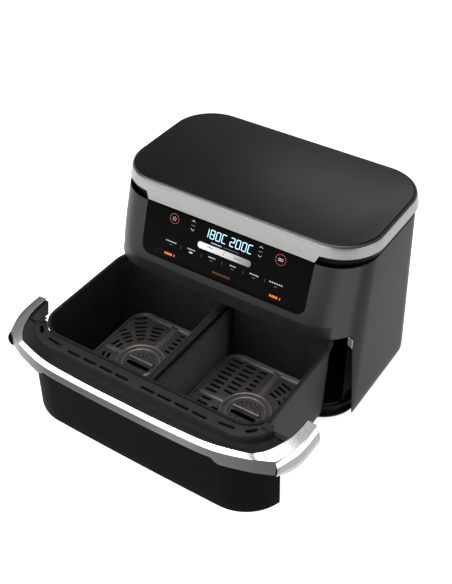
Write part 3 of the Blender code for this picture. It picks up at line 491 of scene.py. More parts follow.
def build_housing():
    sheet = 0.0014
    levels = [WRAP_FOOT + 0.0020, 0.030, 0.070, 0.110, 0.150, LIP, 0.1740, 0.1775, 0.183, 0.188, 0.1903,
              0.1914,
              0.1925, 0.1936, 0.1947, 0.197, 0.205, 0.220, 0.240, 0.265, WRAP_TOP - 0.0016, WRAP_TOP - 0.0004]
    rows = [at(housing_plan(WRAP_FOOT, 0.0010), WRAP_FOOT, HOUSE)]
    rows += [at(housing_plan(z), z, HOUSE) for z in levels]
    rows.append(at(housing_plan(WRAP_TOP, 0.0012), WRAP_TOP, HOUSE))
    rows += [at(housing_plan(z, sheet), z, HOUSE) for z in reversed(levels[:-2])]
    wrap = put("housing_skin", loft(rows, loop=True), M["gunmetal"], "housing")
    radius = 0.0060
    outline = [(-0.30, -0.10), (SIDE_EDGE, -0.10), (SIDE_EDGE, LIP - radius)]
    outline += arc(SIDE_EDGE - radius, LIP - radius, radius, 0, 90, 11)[1:-1]
    outline += [(SIDE_EDGE - radius, LIP), (-0.30, LIP)]
    mouth = loft([[(x, y + HOUSE, z) for y, z in outline] for x in (-0.30, 0.30)])
    window = loft([on_face(slope_outline(PANEL_HALF, 0.0130, 0.20, 0.0160), out) for out in (-0.03, 0.03)])
    rear = block((-0.100, HOUSE + REAR - 0.02, 0.196), (0.100, HOUSE + REAR + 0.02, 0.262))
    gland = loft([[(x, HOUSE + y, z) for x, z in arc(0.0, 0.060, 0.0105, 0, 360, 24)[:-1]]
                  for y in (REAR - 0.02, REAR + 0.02)])
    cut(wrap, hidden("mouth_tool", mouth), hidden("window_tool", window), hidden("rear_tool", rear),
        hidden("gland_tool", gland))
    # The chin's front faces get a darker copy of the housing paint: painted shade.
    wrap.data.materials.append(M["chin"])
    for face in wrap.data.polygons:
        on_chin = LIP - 0.002 < face.center.z < CREASE + 0.001 and abs(face.center.x) < 0.19
        if on_chin and face.normal.y < -0.80:
            face.material_index = 1
    bevel(wrap, 0.0006, 2, 50)
    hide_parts("housing_wrap")


def build_lid():
    half_x, half_y, corner = 0.2142, 0.1155, 0.0660
    rows = []
    for z, inset in ((TOP - 0.0072, 0.0), (TOP - 0.0014, 0.0), (TOP - 0.0008, 0.0003), (TOP - 0.0003, 0.0010),
                     (TOP, 0.0024)):
        rows.append(at(plan(half_x - inset, inset - half_y, half_y - inset, corner - inset, corner - inset),
                       z, HOUSE))
    lid = put("lid", loft(rows), M["lid"], "housing")
    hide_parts("top_cover")


DROP_FOOT = 0.2906           # the band's front part reaches down to here over the panel
DROP_FORWARD = 0.0036        # and comes forward by this much, to follow the slope


def band_row(half_x, z, drop=False):
    """One level of the bright band; with drop, the front part reaches down over the panel's upper edge."""
    fillet = 0.0060
    half_y, corner = half_x - 0.0987, half_x - 0.1485
    row = []
    for x, y in plan(half_x, -half_y, half_y, corner, corner, steps=24, front_points=60):
        height, forward = z, 0.0
        if drop and y < -half_y + 0.02:
            beyond = abs(x) - PANEL_HALF
            if beyond <= 0.0:
                height, forward = DROP_FOOT, DROP_FORWARD
            elif beyond < fillet:
                height = z - (fillet - math.sqrt(fillet ** 2 - (fillet - beyond) ** 2))
                forward = DROP_FORWARD * (z - height) / (z - DROP_FOOT)
        row.append((x, y + HOUSE - forward, height))
    return row


def build_band():
    foot, top = 0.3020, TOP - 0.0005
    rows = [band_row(half_x, z, z == foot) for half_x, z in (
        (0.2225, foot), (0.2217, 0.3052), (0.2199, 0.3125), (0.2184, 0.3184), (0.2177, 0.3196),
        (0.2160, top - 0.0004),
        (0.2154, top), (0.2148, top - 0.0004), (0.2147, top - 0.0055), (0.2178, 0.3125), (0.2195, 0.3055),
        (0.2203, foot))]
    band = put("trim_band", loft(rows, loop=True), M["band"], "housing", angle=22)
    paint_light_on_tops(band, M["band_top_shade"], 0.50)
    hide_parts("top_trim_band")


def build_collar():
    """The recessed collar under the band, drilled with one row of small holes."""
    pitch, radius, z_mid = 0.0066, 0.0017, 0.2960
    line = plan(0.2170, -0.1183, 0.1183, 0.0685, 0.0685, steps=24, front_points=24)
    line.append(line[0])
    length = sum(math.dist(a, b) for a, b in zip(line, line[1:]))
    cells = int(length / pitch)
    fine = spaced(line, cells * 4 + 1)
    bm = bmesh.new()
    low, high, back = WRAP_TOP + 0.0003, 0.3135, 0.0016

    def place(s, z, depth):
        k = (s % 1.0) * (len(fine) - 1)
        i = min(int(k), len(fine) - 2)
        a, b = Vector(fine[i]), Vector(fine[i + 1])
        spot = a + (b - a) * (k - i)
        inward = Vector((-(b - a).y, (b - a).x)).normalized() * depth
        return (spot.x + inward.x, spot.y + inward.y + HOUSE, z)

    for c in range(cells):
        middle = (c + 0.5) / cells
        width = 0.5 / cells
        outer, hole, inner = [], [], []
        for i in range(12):
            angle = 2 * math.pi * (i + 0.5) / 12
            cx, cy = math.cos(angle), math.sin(angle)
            grow = 1 / max(abs(cx), abs(cy))
            reach = (high - z_mid) if cy > 0 else (z_mid - low)
            outer.append(bm.verts.new(place(middle + width * cx * grow, z_mid + reach * cy * grow, 0)))
            hole.append(bm.verts.new(place(middle + width * cx * radius * 2 / pitch, z_mid + radius * cy, 0)))
            inner.append(bm.verts.new(place(middle + width * cx * radius * 2 / pitch, z_mid + radius * cy,
                                            back)))
        for i in range(12):
            j = (i + 1) % 12
            bm.faces.new((outer[i], outer[j], hole[j], hole[i]))
            bm.faces.new((hole[i], hole[j], inner[j], inner[i]))
        bm.faces.new(inner)
    collar = put("vent_ring", bm, M["collar"], "housing", angle=40)
    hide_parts("vent_collar")
    shelf = loft([at(plan(0.2170 - i, i - 0.1183, 0.1183 - i, 0.0685 - i, 0.0685 - i), WRAP_TOP - 0.0006,
                     HOUSE)
                  for i in (0.0, 0.0070)], caps=False)
    put("vent_ring_shelf", shelf, M["collar"], "housing")


# ---------------------------------------------------------------- control panel
# places on the slope are (x, distance up from the crease)
PILL = (0.0010, 0.0620, 0.0960, 0.0108)      # with the bar's length and width
POWER = (-0.0955, 0.0869)
START = (0.0955, 0.0869)
ARROWS = ((-0.0607, 0.0873), (0.0607, 0.0873))
DISPLAY = (-0.0318, 0.0778)
LABEL_UP = 0.0479
LETTERS = 6                 # each programme is marked by this many plain dashes
LABELS = ((-0.0955, 0.0205), (-0.0573, 0.0145), (-0.0191, 0.0130), (0.0191, 0.0110), (0.0573, 0.0160),
          (0.0955, 0.0240))    # each with its x and its width


def mark(points, mat, name, out=0.00032, thick=0.00010):
    """A printed or lit shape on the panel from closed outlines in (x, up)."""
    bm = bmesh.new()
    for ring in points:
        loft([on_face(ring, out), on_face(ring, out + thick)], bm=bm)
    return put(name, bm, mat, "housing", angle=30)


def bar(x, up, width, height, radius=None):
    radius = min(width, height) / 2 if radius is None else radius
    return rounded(x - width / 2, up - height / 2, x + width / 2, up + height / 2, radius)


def stroke(a, b, width):
    """A straight bar between two points of the panel."""
    direction = Vector((b[0] - a[0], b[1] - a[1])).normalized() * width / 2
    side = Vector((-direction.y, direction.x))
    corners = ((a, -1, 1), (a, -1, -1), (b, 1, -1), (b, 1, 1))
    return [(p[0] + direction.x * s + side.x * t, p[1] + direction.y * s + side.y * t) for p, s, t in corners]


def arc_strokes(x, up, radius, width, start=0, end=360, count=28):
    rings = []
    for i in range(count):
        a, b = (math.radians(start + (end - start) * k / count) for k in (i, i + 1))
        rings.append([(x + (radius + s * width / 2) * math.cos(t),
                       up + (radius + s * width / 2) * math.sin(t))
                      for s, t in ((-1, a), (1, a), (1, b), (-1, b))])
    return rings


SEGMENTS = {"0": "abcdef", "1": "bc", "2": "abged", "8": "abcdefg", "C": "afed"}


def digit(char, x, up, width, height, thick):
    """Seven-segment figure with slanted strokes; x, up is its lower left."""
    lean = 0.10
    gap = thick * 0.55
    spots = {"a": ((0, 1), (1, 1)), "b": ((1, 1), (1, 0.5)), "c": ((1, 0.5), (1, 0)), "d": ((0, 0), (1, 0)),
             "e": ((0, 0.5), (0, 0)), "f": ((0, 1), (0, 0.5)), "g": ((0, 0.5), (1, 0.5))}
    rings = []
    for name in SEGMENTS[char]:
        (x0, u0), (x1, u1) = spots[name]
        a = Vector((x + x0 * width + lean * u0 * height, up + u0 * height))
        b = Vector((x + x1 * width + lean * u1 * height, up + u1 * height))
        step = (b - a).normalized() * gap
        rings.append(stroke(a + step, b - step, thick))
    return rings


def build_panel():
    face = slope_outline(PANEL_HALF - 0.0004, 0.0134, SLOPE_LENGTH - 0.0002, 0.0157)
    soft = slope_outline(PANEL_HALF - 0.0009, 0.0139, SLOPE_LENGTH - 0.0006, 0.0152)
    panel = put("touch_panel", loft([on_face(face, -0.0020), on_face(face, -0.0003), on_face(soft, 0.0001)]),
                M["panel"], "housing")
    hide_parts("control_panel")

    pill = loft([on_face(bar(*PILL, r), out) for r, out in ((0.0052, 0.0002), (0.0052, 0.0009),
                                                            (0.0049, 0.0012))])
    pill = put("mode_bar", pill, M["pill"], "housing")
    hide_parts("mode_touch_bar")
    mark([bar(PILL[0], PILL[1], 0.0006, 0.0060, 0.0002)], M["band_dark"], "mode_bar_divider", out=0.00122)
    mark([bar(PILL[0] - 0.026, PILL[1] + 0.0014, 0.0100, 0.0012, 0.0003),
          bar(PILL[0] + 0.024, PILL[1], 0.0130, 0.0012, 0.0003)], M["dim_print"], "mode_bar_marks",
          out=0.00122)
    mark([bar(PILL[0] - 0.026, PILL[1] - 0.0016, 0.0070, 0.0012)], M["lit"], "mode_bar_light", out=0.00122)

    strip_low = 0.0242
    mark([bar(0.0, strip_low, 0.2540, 0.0112)], M["band_dark"], "zone_strip", out=0.00012)
    zone = []
    for x in (-0.0965, 0.0965):
        zone += [bar(x - 0.0066 + 0.0037 * k, strip_low + 0.0022, 0.0026, 0.0036, 0.0004) for k in range(4)]
        zone += [bar(x + 0.0100, strip_low + 0.0022, 0.0014, 0.0036, 0.0003)]
    mark(zone, M["orange"], "zone_marks")
    mark([bar(-0.0130 + 0.0036 * k, strip_low + 0.0020, 0.0026, 0.0028, 0.0003) for k in range(9)],
         M["dim_orange"], "joined_zone_mark")

    rings = arc_strokes(*POWER, 0.0080, 0.0006) + arc_strokes(*START, 0.0086, 0.0006)
    mark(rings, M["ring"], "button_rings")
    power = arc_strokes(*POWER, 0.0028, 0.0006, 125, 415, 16)
    power.append(stroke((POWER[0], POWER[1] + 0.0012), (POWER[0], POWER[1] + 0.0036), 0.0006))
    start = [bar(START[0], START[1] + lift, 0.0084, 0.0010, 0.0003) for lift in (0.0014, -0.0014)]
    chevrons = []
    for x, up in ARROWS:
        for sign, lift in ((1, 0.0072), (-1, -0.0072)):
            tip = (x, up + lift + sign * 0.0014)
            chevrons += [stroke((x + reach, up + lift - sign * 0.0010), tip, 0.0007)
                         for reach in (-0.0028, 0.0028)]
    mark(power + start + chevrons, M["print"], "button_symbols")
    mark([bar(x, up, 0.0070, 0.0012, 0.0003) for x, up in ARROWS], M["dim_print"], "arrow_marks")

    x = DISPLAY[0]
    figures = []
    advances = {"1": 0.0034, " ": 0.0042}
    for char in "180C 200C":
        if char != " ":
            figures += digit(char, x - 0.0074 if char == "1" else x, DISPLAY[1], 0.0068, 0.0138, 0.0013)
        x += advances.get(char, 0.0105)
    mark(figures, M["lit"], "display_figures")
    mark([bar(PILL[0] - 0.016, PILL[1] + 0.0094, 0.0190, 0.0013, 0.0003)], M["print"], "display_note")
    mark([bar(PILL[0] + 0.011, PILL[1] + 0.0094, 0.0280, 0.0009, 0.0003)], M["dim_print"], "display_note_dim")

    names, notes, bars = [], [], []
    for number, (x, width) in enumerate(LABELS):
        names += [bar(x + width * (k + 0.5 - LETTERS / 2) / LETTERS, LABEL_UP, width / LETTERS * 0.66, 0.0017,
                      0.0003)
                  for k in range(LETTERS)]
        if number != 1:
            notes.append(bar(x, LABEL_UP - 0.0052, 0.0056, 0.0010, 0.0003))
    for a, b in zip(LABELS, LABELS[1:]):
        bars.append(bar((a[0] + b[0]) / 2, LABEL_UP - 0.0026, 0.0004, 0.0062, 0.0001))
    mark(names, M["print"], "programme_marks")
    mark(notes + bars, M["dim_print"], "programme_notes")
    mark([bar(LABELS[1][0], LABEL_UP - 0.0052, 0.0064, 0.0016)], M["lit"], "programme_light")


# ---------------------------------------------------------------- base
def build_base():
    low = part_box("base_plate")[0][2]
    rows = []
    for inset, z in ((0.0060, low), (0.0022, low + 0.0006), (0.0006, low + 0.0020), (0.0, low + 0.0036),
                     (0.0, 0.0112),
                     (0.0005, 0.0117), (0.0090, 0.0117)):
        rows.append(at(plan(HALF - 0.0060 - inset, CREASE_FRONT + inset, REAR - 0.0060 - inset, 0.062 - inset,
                            0.061 - inset, 0.004), z, HOUSE))
    for half, front, z in ((0.2190, -0.1478, 0.0122), (0.2182, -0.1470, 0.0195), (0.2175, -0.1462, 0.0203)):
        rows.append(at(plan(half, front, 0.111, 0.064, 0.055, 0.004), z, HOUSE))
    base = put("base_tray", loft(rows), M["base"], "housing")
    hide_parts("base_plate")
    for side, sign in (("left", -1), ("right", 1)):
        line = [(sign * x, y) for x, y in arc(0.1530, -0.0840, 0.0560, 290, 42, 16)]
        rows = []
        for i, (x, y) in enumerate(line):
            across = square_to(line, i) * 0.0016
            rise = 0.0028 * min(1.0, min(i, 16 - i) / 1.5 + 0.05)
            rows.append([(x + across.x * s, y + across.y * s + HOUSE, 0.0200 + rise * h)
                         for s, h in ((-1.3, 0), (-0.9, 0.8), (-0.4, 1), (0.4, 1), (0.9, 0.8), (1.3, 0))])
        put(f"{side}_base_rib", loft(rows), M["ledge"], "housing")


# ---------------------------------------------------------------- drawer
PAN_FRONT, PAN_REAR, PAN_BOTTOM = -0.1400, 0.0950, 0.0233
LEDGE_TOP, TROUGH = 0.1680, 0.1530
LEDGE_EDGE, LEDGE_END = -0.1655, -0.1262


def pan_ring(half, z, inset=0.0, corner=0.040):
    rear = PAN_REAR - 0.0035 - 0.006 * (RIM - z) / (RIM - PAN_BOTTOM)
    corner -= inset * 0.6
    return at(plan(half, PAN_FRONT - 0.0020 + inset, rear - inset, corner, corner, front_points=20), z,
              DRAWER)


def build_pan():
    low, top = 0.1945, 0.1965        # the wall's half width at its foot and at the rim
    sheet, round_foot, straight = 0.0021, 0.010, 0.0330

    def wall(z, out):
        share = (z - straight) / (RIM - straight)
        return pan_ring(low + (top - low) * share + out, z, -out)

    def foot(degrees, within, floor):
        r, angle = round_foot, math.radians(degrees)
        return pan_ring(low - within - r + r * math.sin(angle), floor + r - r * math.cos(angle),
                        within + r - r * math.sin(angle))

    def rim(inset, z):
        return at(plan(0.2000 - inset, PAN_FRONT - 0.0040 + inset, PAN_REAR - inset, 0.043 - inset,
                       0.043 - inset,
                       front_points=20), z, DRAWER)

    rows = [foot(15 * i, 0.0, PAN_BOTTOM) for i in range(7)]
    rows += [wall(z, out) for z, out in ((0.060, 0.0), (0.100, 0.0), (0.135, 0.0), (0.1560, 0.0),
                                         (0.1572, 0.0008),
                                         (0.1592, 0.0008), (0.1604, 0.0), (0.1660, 0.0))]
    rows += [rim(0.0004, RIM - 0.0026), rim(0.0, RIM - 0.0021), rim(0.0, RIM - 0.0007),
             rim(0.0004, RIM - 0.0001)]
    rows += [pan_ring(top - inset, RIM - drop, inset) for inset, drop in ((0.0006, 0.0), (0.0018, 0.0008),
                                                                         (sheet, 0.0030))]
    rows += [wall(z, -sheet) for z in (0.1350, 0.0900, 0.0450)]
    rows += [foot(90 - 15 * i, sheet, PAN_BOTTOM + 0.0020) for i in range(7)]
    pan = put("pan_shell", loft(rows), M["pan_out"], "drawer")
    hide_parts("pan")
    ribs = bmesh.new()
    for x in (-0.0085, 0.0060):
        for y0, y1 in ((0.0780, 0.0885), (-0.1404, -0.1340)):
            block((x, DRAWER + y0, PAN_BOTTOM + 0.002), (x + 0.0025, DRAWER + y1, RIM - 0.016), ribs)
    bevel(put("divider_guides", ribs, M["pan_out"], "drawer"), 0.0006)


HANDLE_OUT = [(0.0, -0.1964), (0.050, -0.1962), (0.100, -0.1952), (0.1400, -0.1932), (0.1700, -0.1878),
              (0.2049, -0.1774), (0.2194, -0.1716), (0.2290, -0.1673), (0.2352, -0.1643), (0.2388, -0.1572),
              (0.2425, -0.1484),
              (0.2483, -0.1312), (0.2507, -0.1106), (0.2508, -0.0806)]
HANDLE_IN = [(0.0, -0.1914), (0.050, -0.1914), (0.1000, -0.1900), (0.1370, -0.1878), (0.1650, -0.1828),
             (0.1995, -0.1728),
             (0.2085, -0.1663), (0.2135, -0.1613), (0.2175, -0.1560), (0.2203, -0.1514), (0.2245, -0.1432),
             (0.2312, -0.1262), (0.2355, -0.1075), (0.2369, -0.0791)]
HANDLE_CREASE = [0.1522] * 5 + [0.1530, 0.1536, 0.1540, 0.1543, 0.1546, 0.1552, 0.1566, 0.1580, 0.1592]
CORNER_STATION = 8           # where the flat front face of the handle ends and the wing begins
WING_X = 0.238               # the wing lies outside this


def handle_stations():
    """Half of the handle, from the middle to the wing's end.

    A station is (outer x, y, inner x, y, crease height, foot height, how far the wing swells)."""
    rows = [(*a, *b, top) for a, b, top in zip(HANDLE_OUT, HANDLE_IN, HANDLE_CREASE)]
    front = smooth_through(rows[:CORNER_STATION + 1], 8)
    wing = smooth_through(rows[CORNER_STATION:], 8)
    stations = []
    for number, (ox, oy, ix, iy, top) in enumerate(front + wing[1:]):
        step = min(max((ox - 0.1480) / 0.0150, 0.0), 1.0)
        foot = 0.1350 - 0.0100 * (step * step * (3 - 2 * step))
        beyond = number - len(front) + 1
        stations.append((ox, oy, ix, iy, top, foot, 0.0 if beyond < 0 else 1.0 + 0.012 * beyond))
    return stations


def mirrored(stations):
    left = [(-s[0], s[1], -s[2], *s[3:]) for s in reversed(stations[1:])]
    return left + list(stations)


def build_handle():
    stations = mirrored(handle_stations())
    rows, core = [], []
    for i, (ox, oy, ix, iy, top, foot, swell) in enumerate(stations):
        across = Vector((ix - ox, iy - oy)).normalized()
        outward = square_to(stations, i)
        if swell == 1.0:
            side = 1 if ox > 0 else -1
            outward = Vector((side * 0.90, 0.44))
        inner_z = 0.1580 + 0.0012 * min(max((abs(ox) - 0.23) / 0.02, 0.0), 1.0)
        width = math.dist((ox, oy), (ix, iy))
        skin = 0.0012
        drop = top - foot

        def spot(depth, z):
            """A point behind the crease by depth, pushed out where the wing swells below it."""
            share = min(max((top - z) / drop, 0.0), 1.0)
            wing = swell * (0.0150 * share - 0.0100 * share ** 2)
            corner = 0.0230 * share * (1.10 - share)
            push = wing + (corner - wing) * max(0.0, 1.0 - (swell - 1.0) / 0.220) if swell else 0.0
            return (ox + across.x * depth + outward.x * push,
                    oy + across.y * depth + outward.y * push + DRAWER, z)

        rise = inner_z - top
        rows.append([spot(0.0030, foot), spot(0.0014, foot + 0.0002), spot(0.0003, foot + 0.0012),
                     spot(0.0, foot + 0.0026), spot(0.0, foot + drop * 0.30), spot(0.0, foot + drop * 0.50),
                     spot(0.0, foot + drop * 0.70), spot(0.0, foot + drop * 0.85), spot(0.0, top - 0.0007),
                     spot(0.0003, top + 0.0001), spot(width * 0.94, top + rise * 0.94),
                     spot(width - 0.0001, inner_z - 0.0003), spot(width, inner_z - 0.0022),
                     spot(width - skin, inner_z - 0.0022), spot(0.0030, top - 0.0030),
                     spot(skin + 0.0004, top - 0.0060),
                     spot(skin, foot + drop * 0.5), spot(skin + 0.0006, foot + 0.0040),
                     spot(0.0030, foot + 0.0012)])
        lining = 0.0055 * min(max((abs(ox) - 0.2400) / 0.006, 0.0), 1.0)
        core.append([spot(0.0034, foot + 0.0008), spot(0.0020, foot + 0.0060), spot(0.0022, top - 0.0068),
                     spot(0.0036, top - 0.0040), spot(width - 0.0014, inner_z - 0.0036),
                     spot(width - 0.0003, inner_z - 0.0036),
                     spot(width + 0.0006 + lining, inner_z - 0.0056),
                     spot(width + 0.0006 + lining, foot + 0.0010)])
    trim = put("handle_skin", loft(rows), M["handle_face"], "drawer", angle=14)
    paint_light_on_tops(trim, M["handle_top"])
    trim.data.materials.append(M["handle_lip_shade"])
    trim.data.materials.append(M["handle_polish"])
    for face in trim.data.polygons:
        z = face.center.z
        on_wing = abs(face.center.x) > WING_X and face.material_index == 0
        # The lower lip and the ends take the darker copy: painted shade.
        if len(face.vertices) > 4 or z < 0.1282 or (z < 0.1362 and abs(face.center.x) < 0.150):
            face.material_index = 2
        # Faces along the wing's upper and lower edges take the bright copy: painted highlight.
        elif on_wing and (z < 0.1315 or z > 0.1535):
            face.material_index = 3
    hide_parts("handle_trim")
    core = put("handle_liner", loft(core), M["grip"], "drawer", angle=40)
    inner = [(s[2], s[3] + DRAWER) for s in stations if abs(s[2]) < 0.212]
    tongue = [[(*a, 0.1395), (*b, 0.1395), (*b, 0.1462), (*a, 0.1462)]
              for a, b in zip(inset_line(inner, -0.0010), inset_line(inner, 0.0130))]
    put("handle_tongue", loft(tongue), M["grip"], "drawer")
    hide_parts("handle_core")


def build_ledge():
    count = 181
    stations = mirrored(handle_stations())
    inner = spaced(front_line(0.2006, PAN_FRONT - 0.0046, 0.0436, LEDGE_END, bow=0.0), count)
    line = spaced(front_line(0.2130, LEDGE_EDGE, 0.0560, LEDGE_END, bow=0.001), count)
    rim = [(s[2], s[3]) for s in stations if s[3] < -0.1290]
    outer = spaced(inset_line(rim, 0.0005), count)
    rows = []
    for a, b, d in zip(inner, line, outer):
        a, b, d = Vector(a), Vector(b), Vector(d)
        out = (d - b).normalized()
        gap = (d - b).length

        def spot(base, z):
            return (base.x, base.y + DRAWER, z)

        soft = min(0.0014, gap * 0.2)
        row = [spot(a, LEDGE_TOP - 0.0030), spot(a, LEDGE_TOP - 0.0006), spot(a + out * 0.0006, LEDGE_TOP),
               spot(b - out * 0.0026, LEDGE_TOP), spot(b - out * 0.0008, LEDGE_TOP - 0.0006),
               spot(b, LEDGE_TOP - 0.0022),
               spot(b + out * 0.0003, TROUGH + 0.0030), spot(b + out * soft, TROUGH + 0.0004),
               spot(b + out * (gap * 0.34), TROUGH), spot(b + out * (gap * 0.60), TROUGH + 0.0008),
               spot(b + out * (gap * 0.84), TROUGH + 0.0026), spot(d, TROUGH + 0.0040),
               spot(d, TROUGH - 0.0055),
               spot(b, TROUGH - 0.0060), spot(a, TROUGH - 0.0050)]
        rows.append(row)
    ledge = put("ledge_moulding", loft(rows), M["ledge"], "drawer")
    tools = bmesh.new()
    slots = [(x, -0.1597, 0.0, 0.0240, 0.0050) for x in (0.0233, 0.0520, 0.0817, 0.1116)]
    slots += [(0.1530, -0.1550, 0.10, 0.0255, 0.0050), (0.1870, -0.1446, math.radians(46), 0.0180, 0.0056)]
    for sign in (-1, 1):
        for x, y, turn, length, width in slots:
            slot_solid((sign * x, DRAWER + y), sign * turn, length, width, LEDGE_TOP - 0.012,
                       LEDGE_TOP + 0.01,
                       bm=tools)
        block((sign * 0.1372 - 0.0004, DRAWER - 0.1665, LEDGE_TOP - 0.0005),
              (sign * 0.1372 + 0.0004, DRAWER - 0.1500, LEDGE_TOP + 0.01), tools)
    cut(ledge, hidden("ledge_tool", tools))
    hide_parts("drawer_ledge")
    for side, sign in (("left", -1), ("right", 1)):
        pieces = bmesh.new()
        for x0, x1, y0, y1, z0, z1 in ((0.1950, 0.2105, -0.1330, -0.1225, 0.1701, 0.1710),
                                       (0.2006, 0.2105, -0.1330, -0.1225, 0.1490, 0.1700),
                                       (0.2006, 0.2310, -0.1262, -0.1190, 0.1475, 0.1560)):
            xs = sorted((sign * x0, sign * x1))
            block((xs[0], DRAWER + y0, z0), (xs[1], DRAWER + y1, z1), pieces)
        ends = put(f"{side}_ledge_end", pieces, M["ledge"], "drawer")
        bevel(ends, 0.0004)


def build_fascia():
    top, foot = 0.1390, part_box("drawer_fascia")[0][2]
    lines = {}
    for z, half, front in ((foot, 0.2265, -0.1760), (top, 0.2215, -0.1800)):
        lines[z] = front_line(half, front, 0.0750, -0.1235, steps=24, middle=30)
    low, high = lines[foot], lines[top]
    rows = []
    for (x0, y0), (x1, y1), a, b in zip(low, high, inset_line(low, 0.0030), inset_line(high, 0.0030)):
        inward = Vector((a[0] - x0, a[1] - y0)).normalized()

        def spot(t, depth):
            return (x0 + (x1 - x0) * t + inward.x * depth, y0 + (y1 - y0) * t + inward.y * depth + DRAWER,
                    foot + (top - foot) * t)

        row = [spot(0.0, 0.0026), spot(0.004, 0.0012), spot(0.014, 0.0004), spot(0.028, 0.0)]
        row += [spot(t, 0.0) for t in (0.2, 0.4, 0.6, 0.8, 0.99)] + [spot(1.0, 0.0004), spot(1.0, 0.0026)]
        row += [spot(t, 0.0030) for t in (0.5, 0.02)]
        rows.append(row)
    fascia = put("drawer_face", loft(rows), M["fascia"], "drawer")
    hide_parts("drawer_fascia")


# ---------------------------------------------------------------- divider
def build_divider():
    box_low, box_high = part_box("divider_plate")
    seal_low, seal_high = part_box("divider_seal")
    top = seal_high[2]
    y0, y1 = seal_low[1], seal_high[1]

    rows = []
    for x, inset in ((-0.0012, 0.0008), (-0.0006, 0), (0.0006, 0), (0.0012, 0.0008)):
        ring = rounded(box_low[1] + inset, box_low[2] + inset, box_high[1] - inset, box_high[2] - inset,
                       0.010 - inset)
        rows.append([(x, y, z) for y, z in ring])
    plate = put("divider_wall", loft(rows), M["divider"], "divider")
    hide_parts("divider_plate")
    half = [(0.0040, 0.0), (0.0052, -0.0004), (0.0058, -0.0016), (0.0058, -0.0100), (0.0050, -0.0112),
            (0.0016, -0.0118), (0.0016, -0.0058)]
    section = half + [(-x, z) for x, z in reversed(half)]
    rows = []
    for y, shrink in ((y0, 0.80), (y0 + 0.0008, 0.95), (y0 + 0.0020, 1.0), (y1 - 0.0020, 1.0),
                      (y1 - 0.0008, 0.95),
                      (y1, 0.80)):
        rows.append([(x * shrink, y, top + z) for x, z in section])
    seal = put("divider_edge", loft(rows), M["seal"], "divider", angle=40)
    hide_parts("divider_seal")
    bead = ((-0.0056, -0.0006), (-0.0056, 0.0003), (-0.0050, 0.0007), (-0.0044, 0.0003), (-0.0044, -0.0006))
    ridge = [[(x, y, top + z) for x, z in bead] for y in (y0 + 0.0010, y1 - 0.0010)]
    put("divider_edge_bead", loft(ridge), M["plate"], "divider", angle=60)


# ---------------------------------------------------------------- crisper plates
BOSS_X = 0.1015              # the round grip boss is in the middle of each plate
SLOT_PITCH = 0.0111


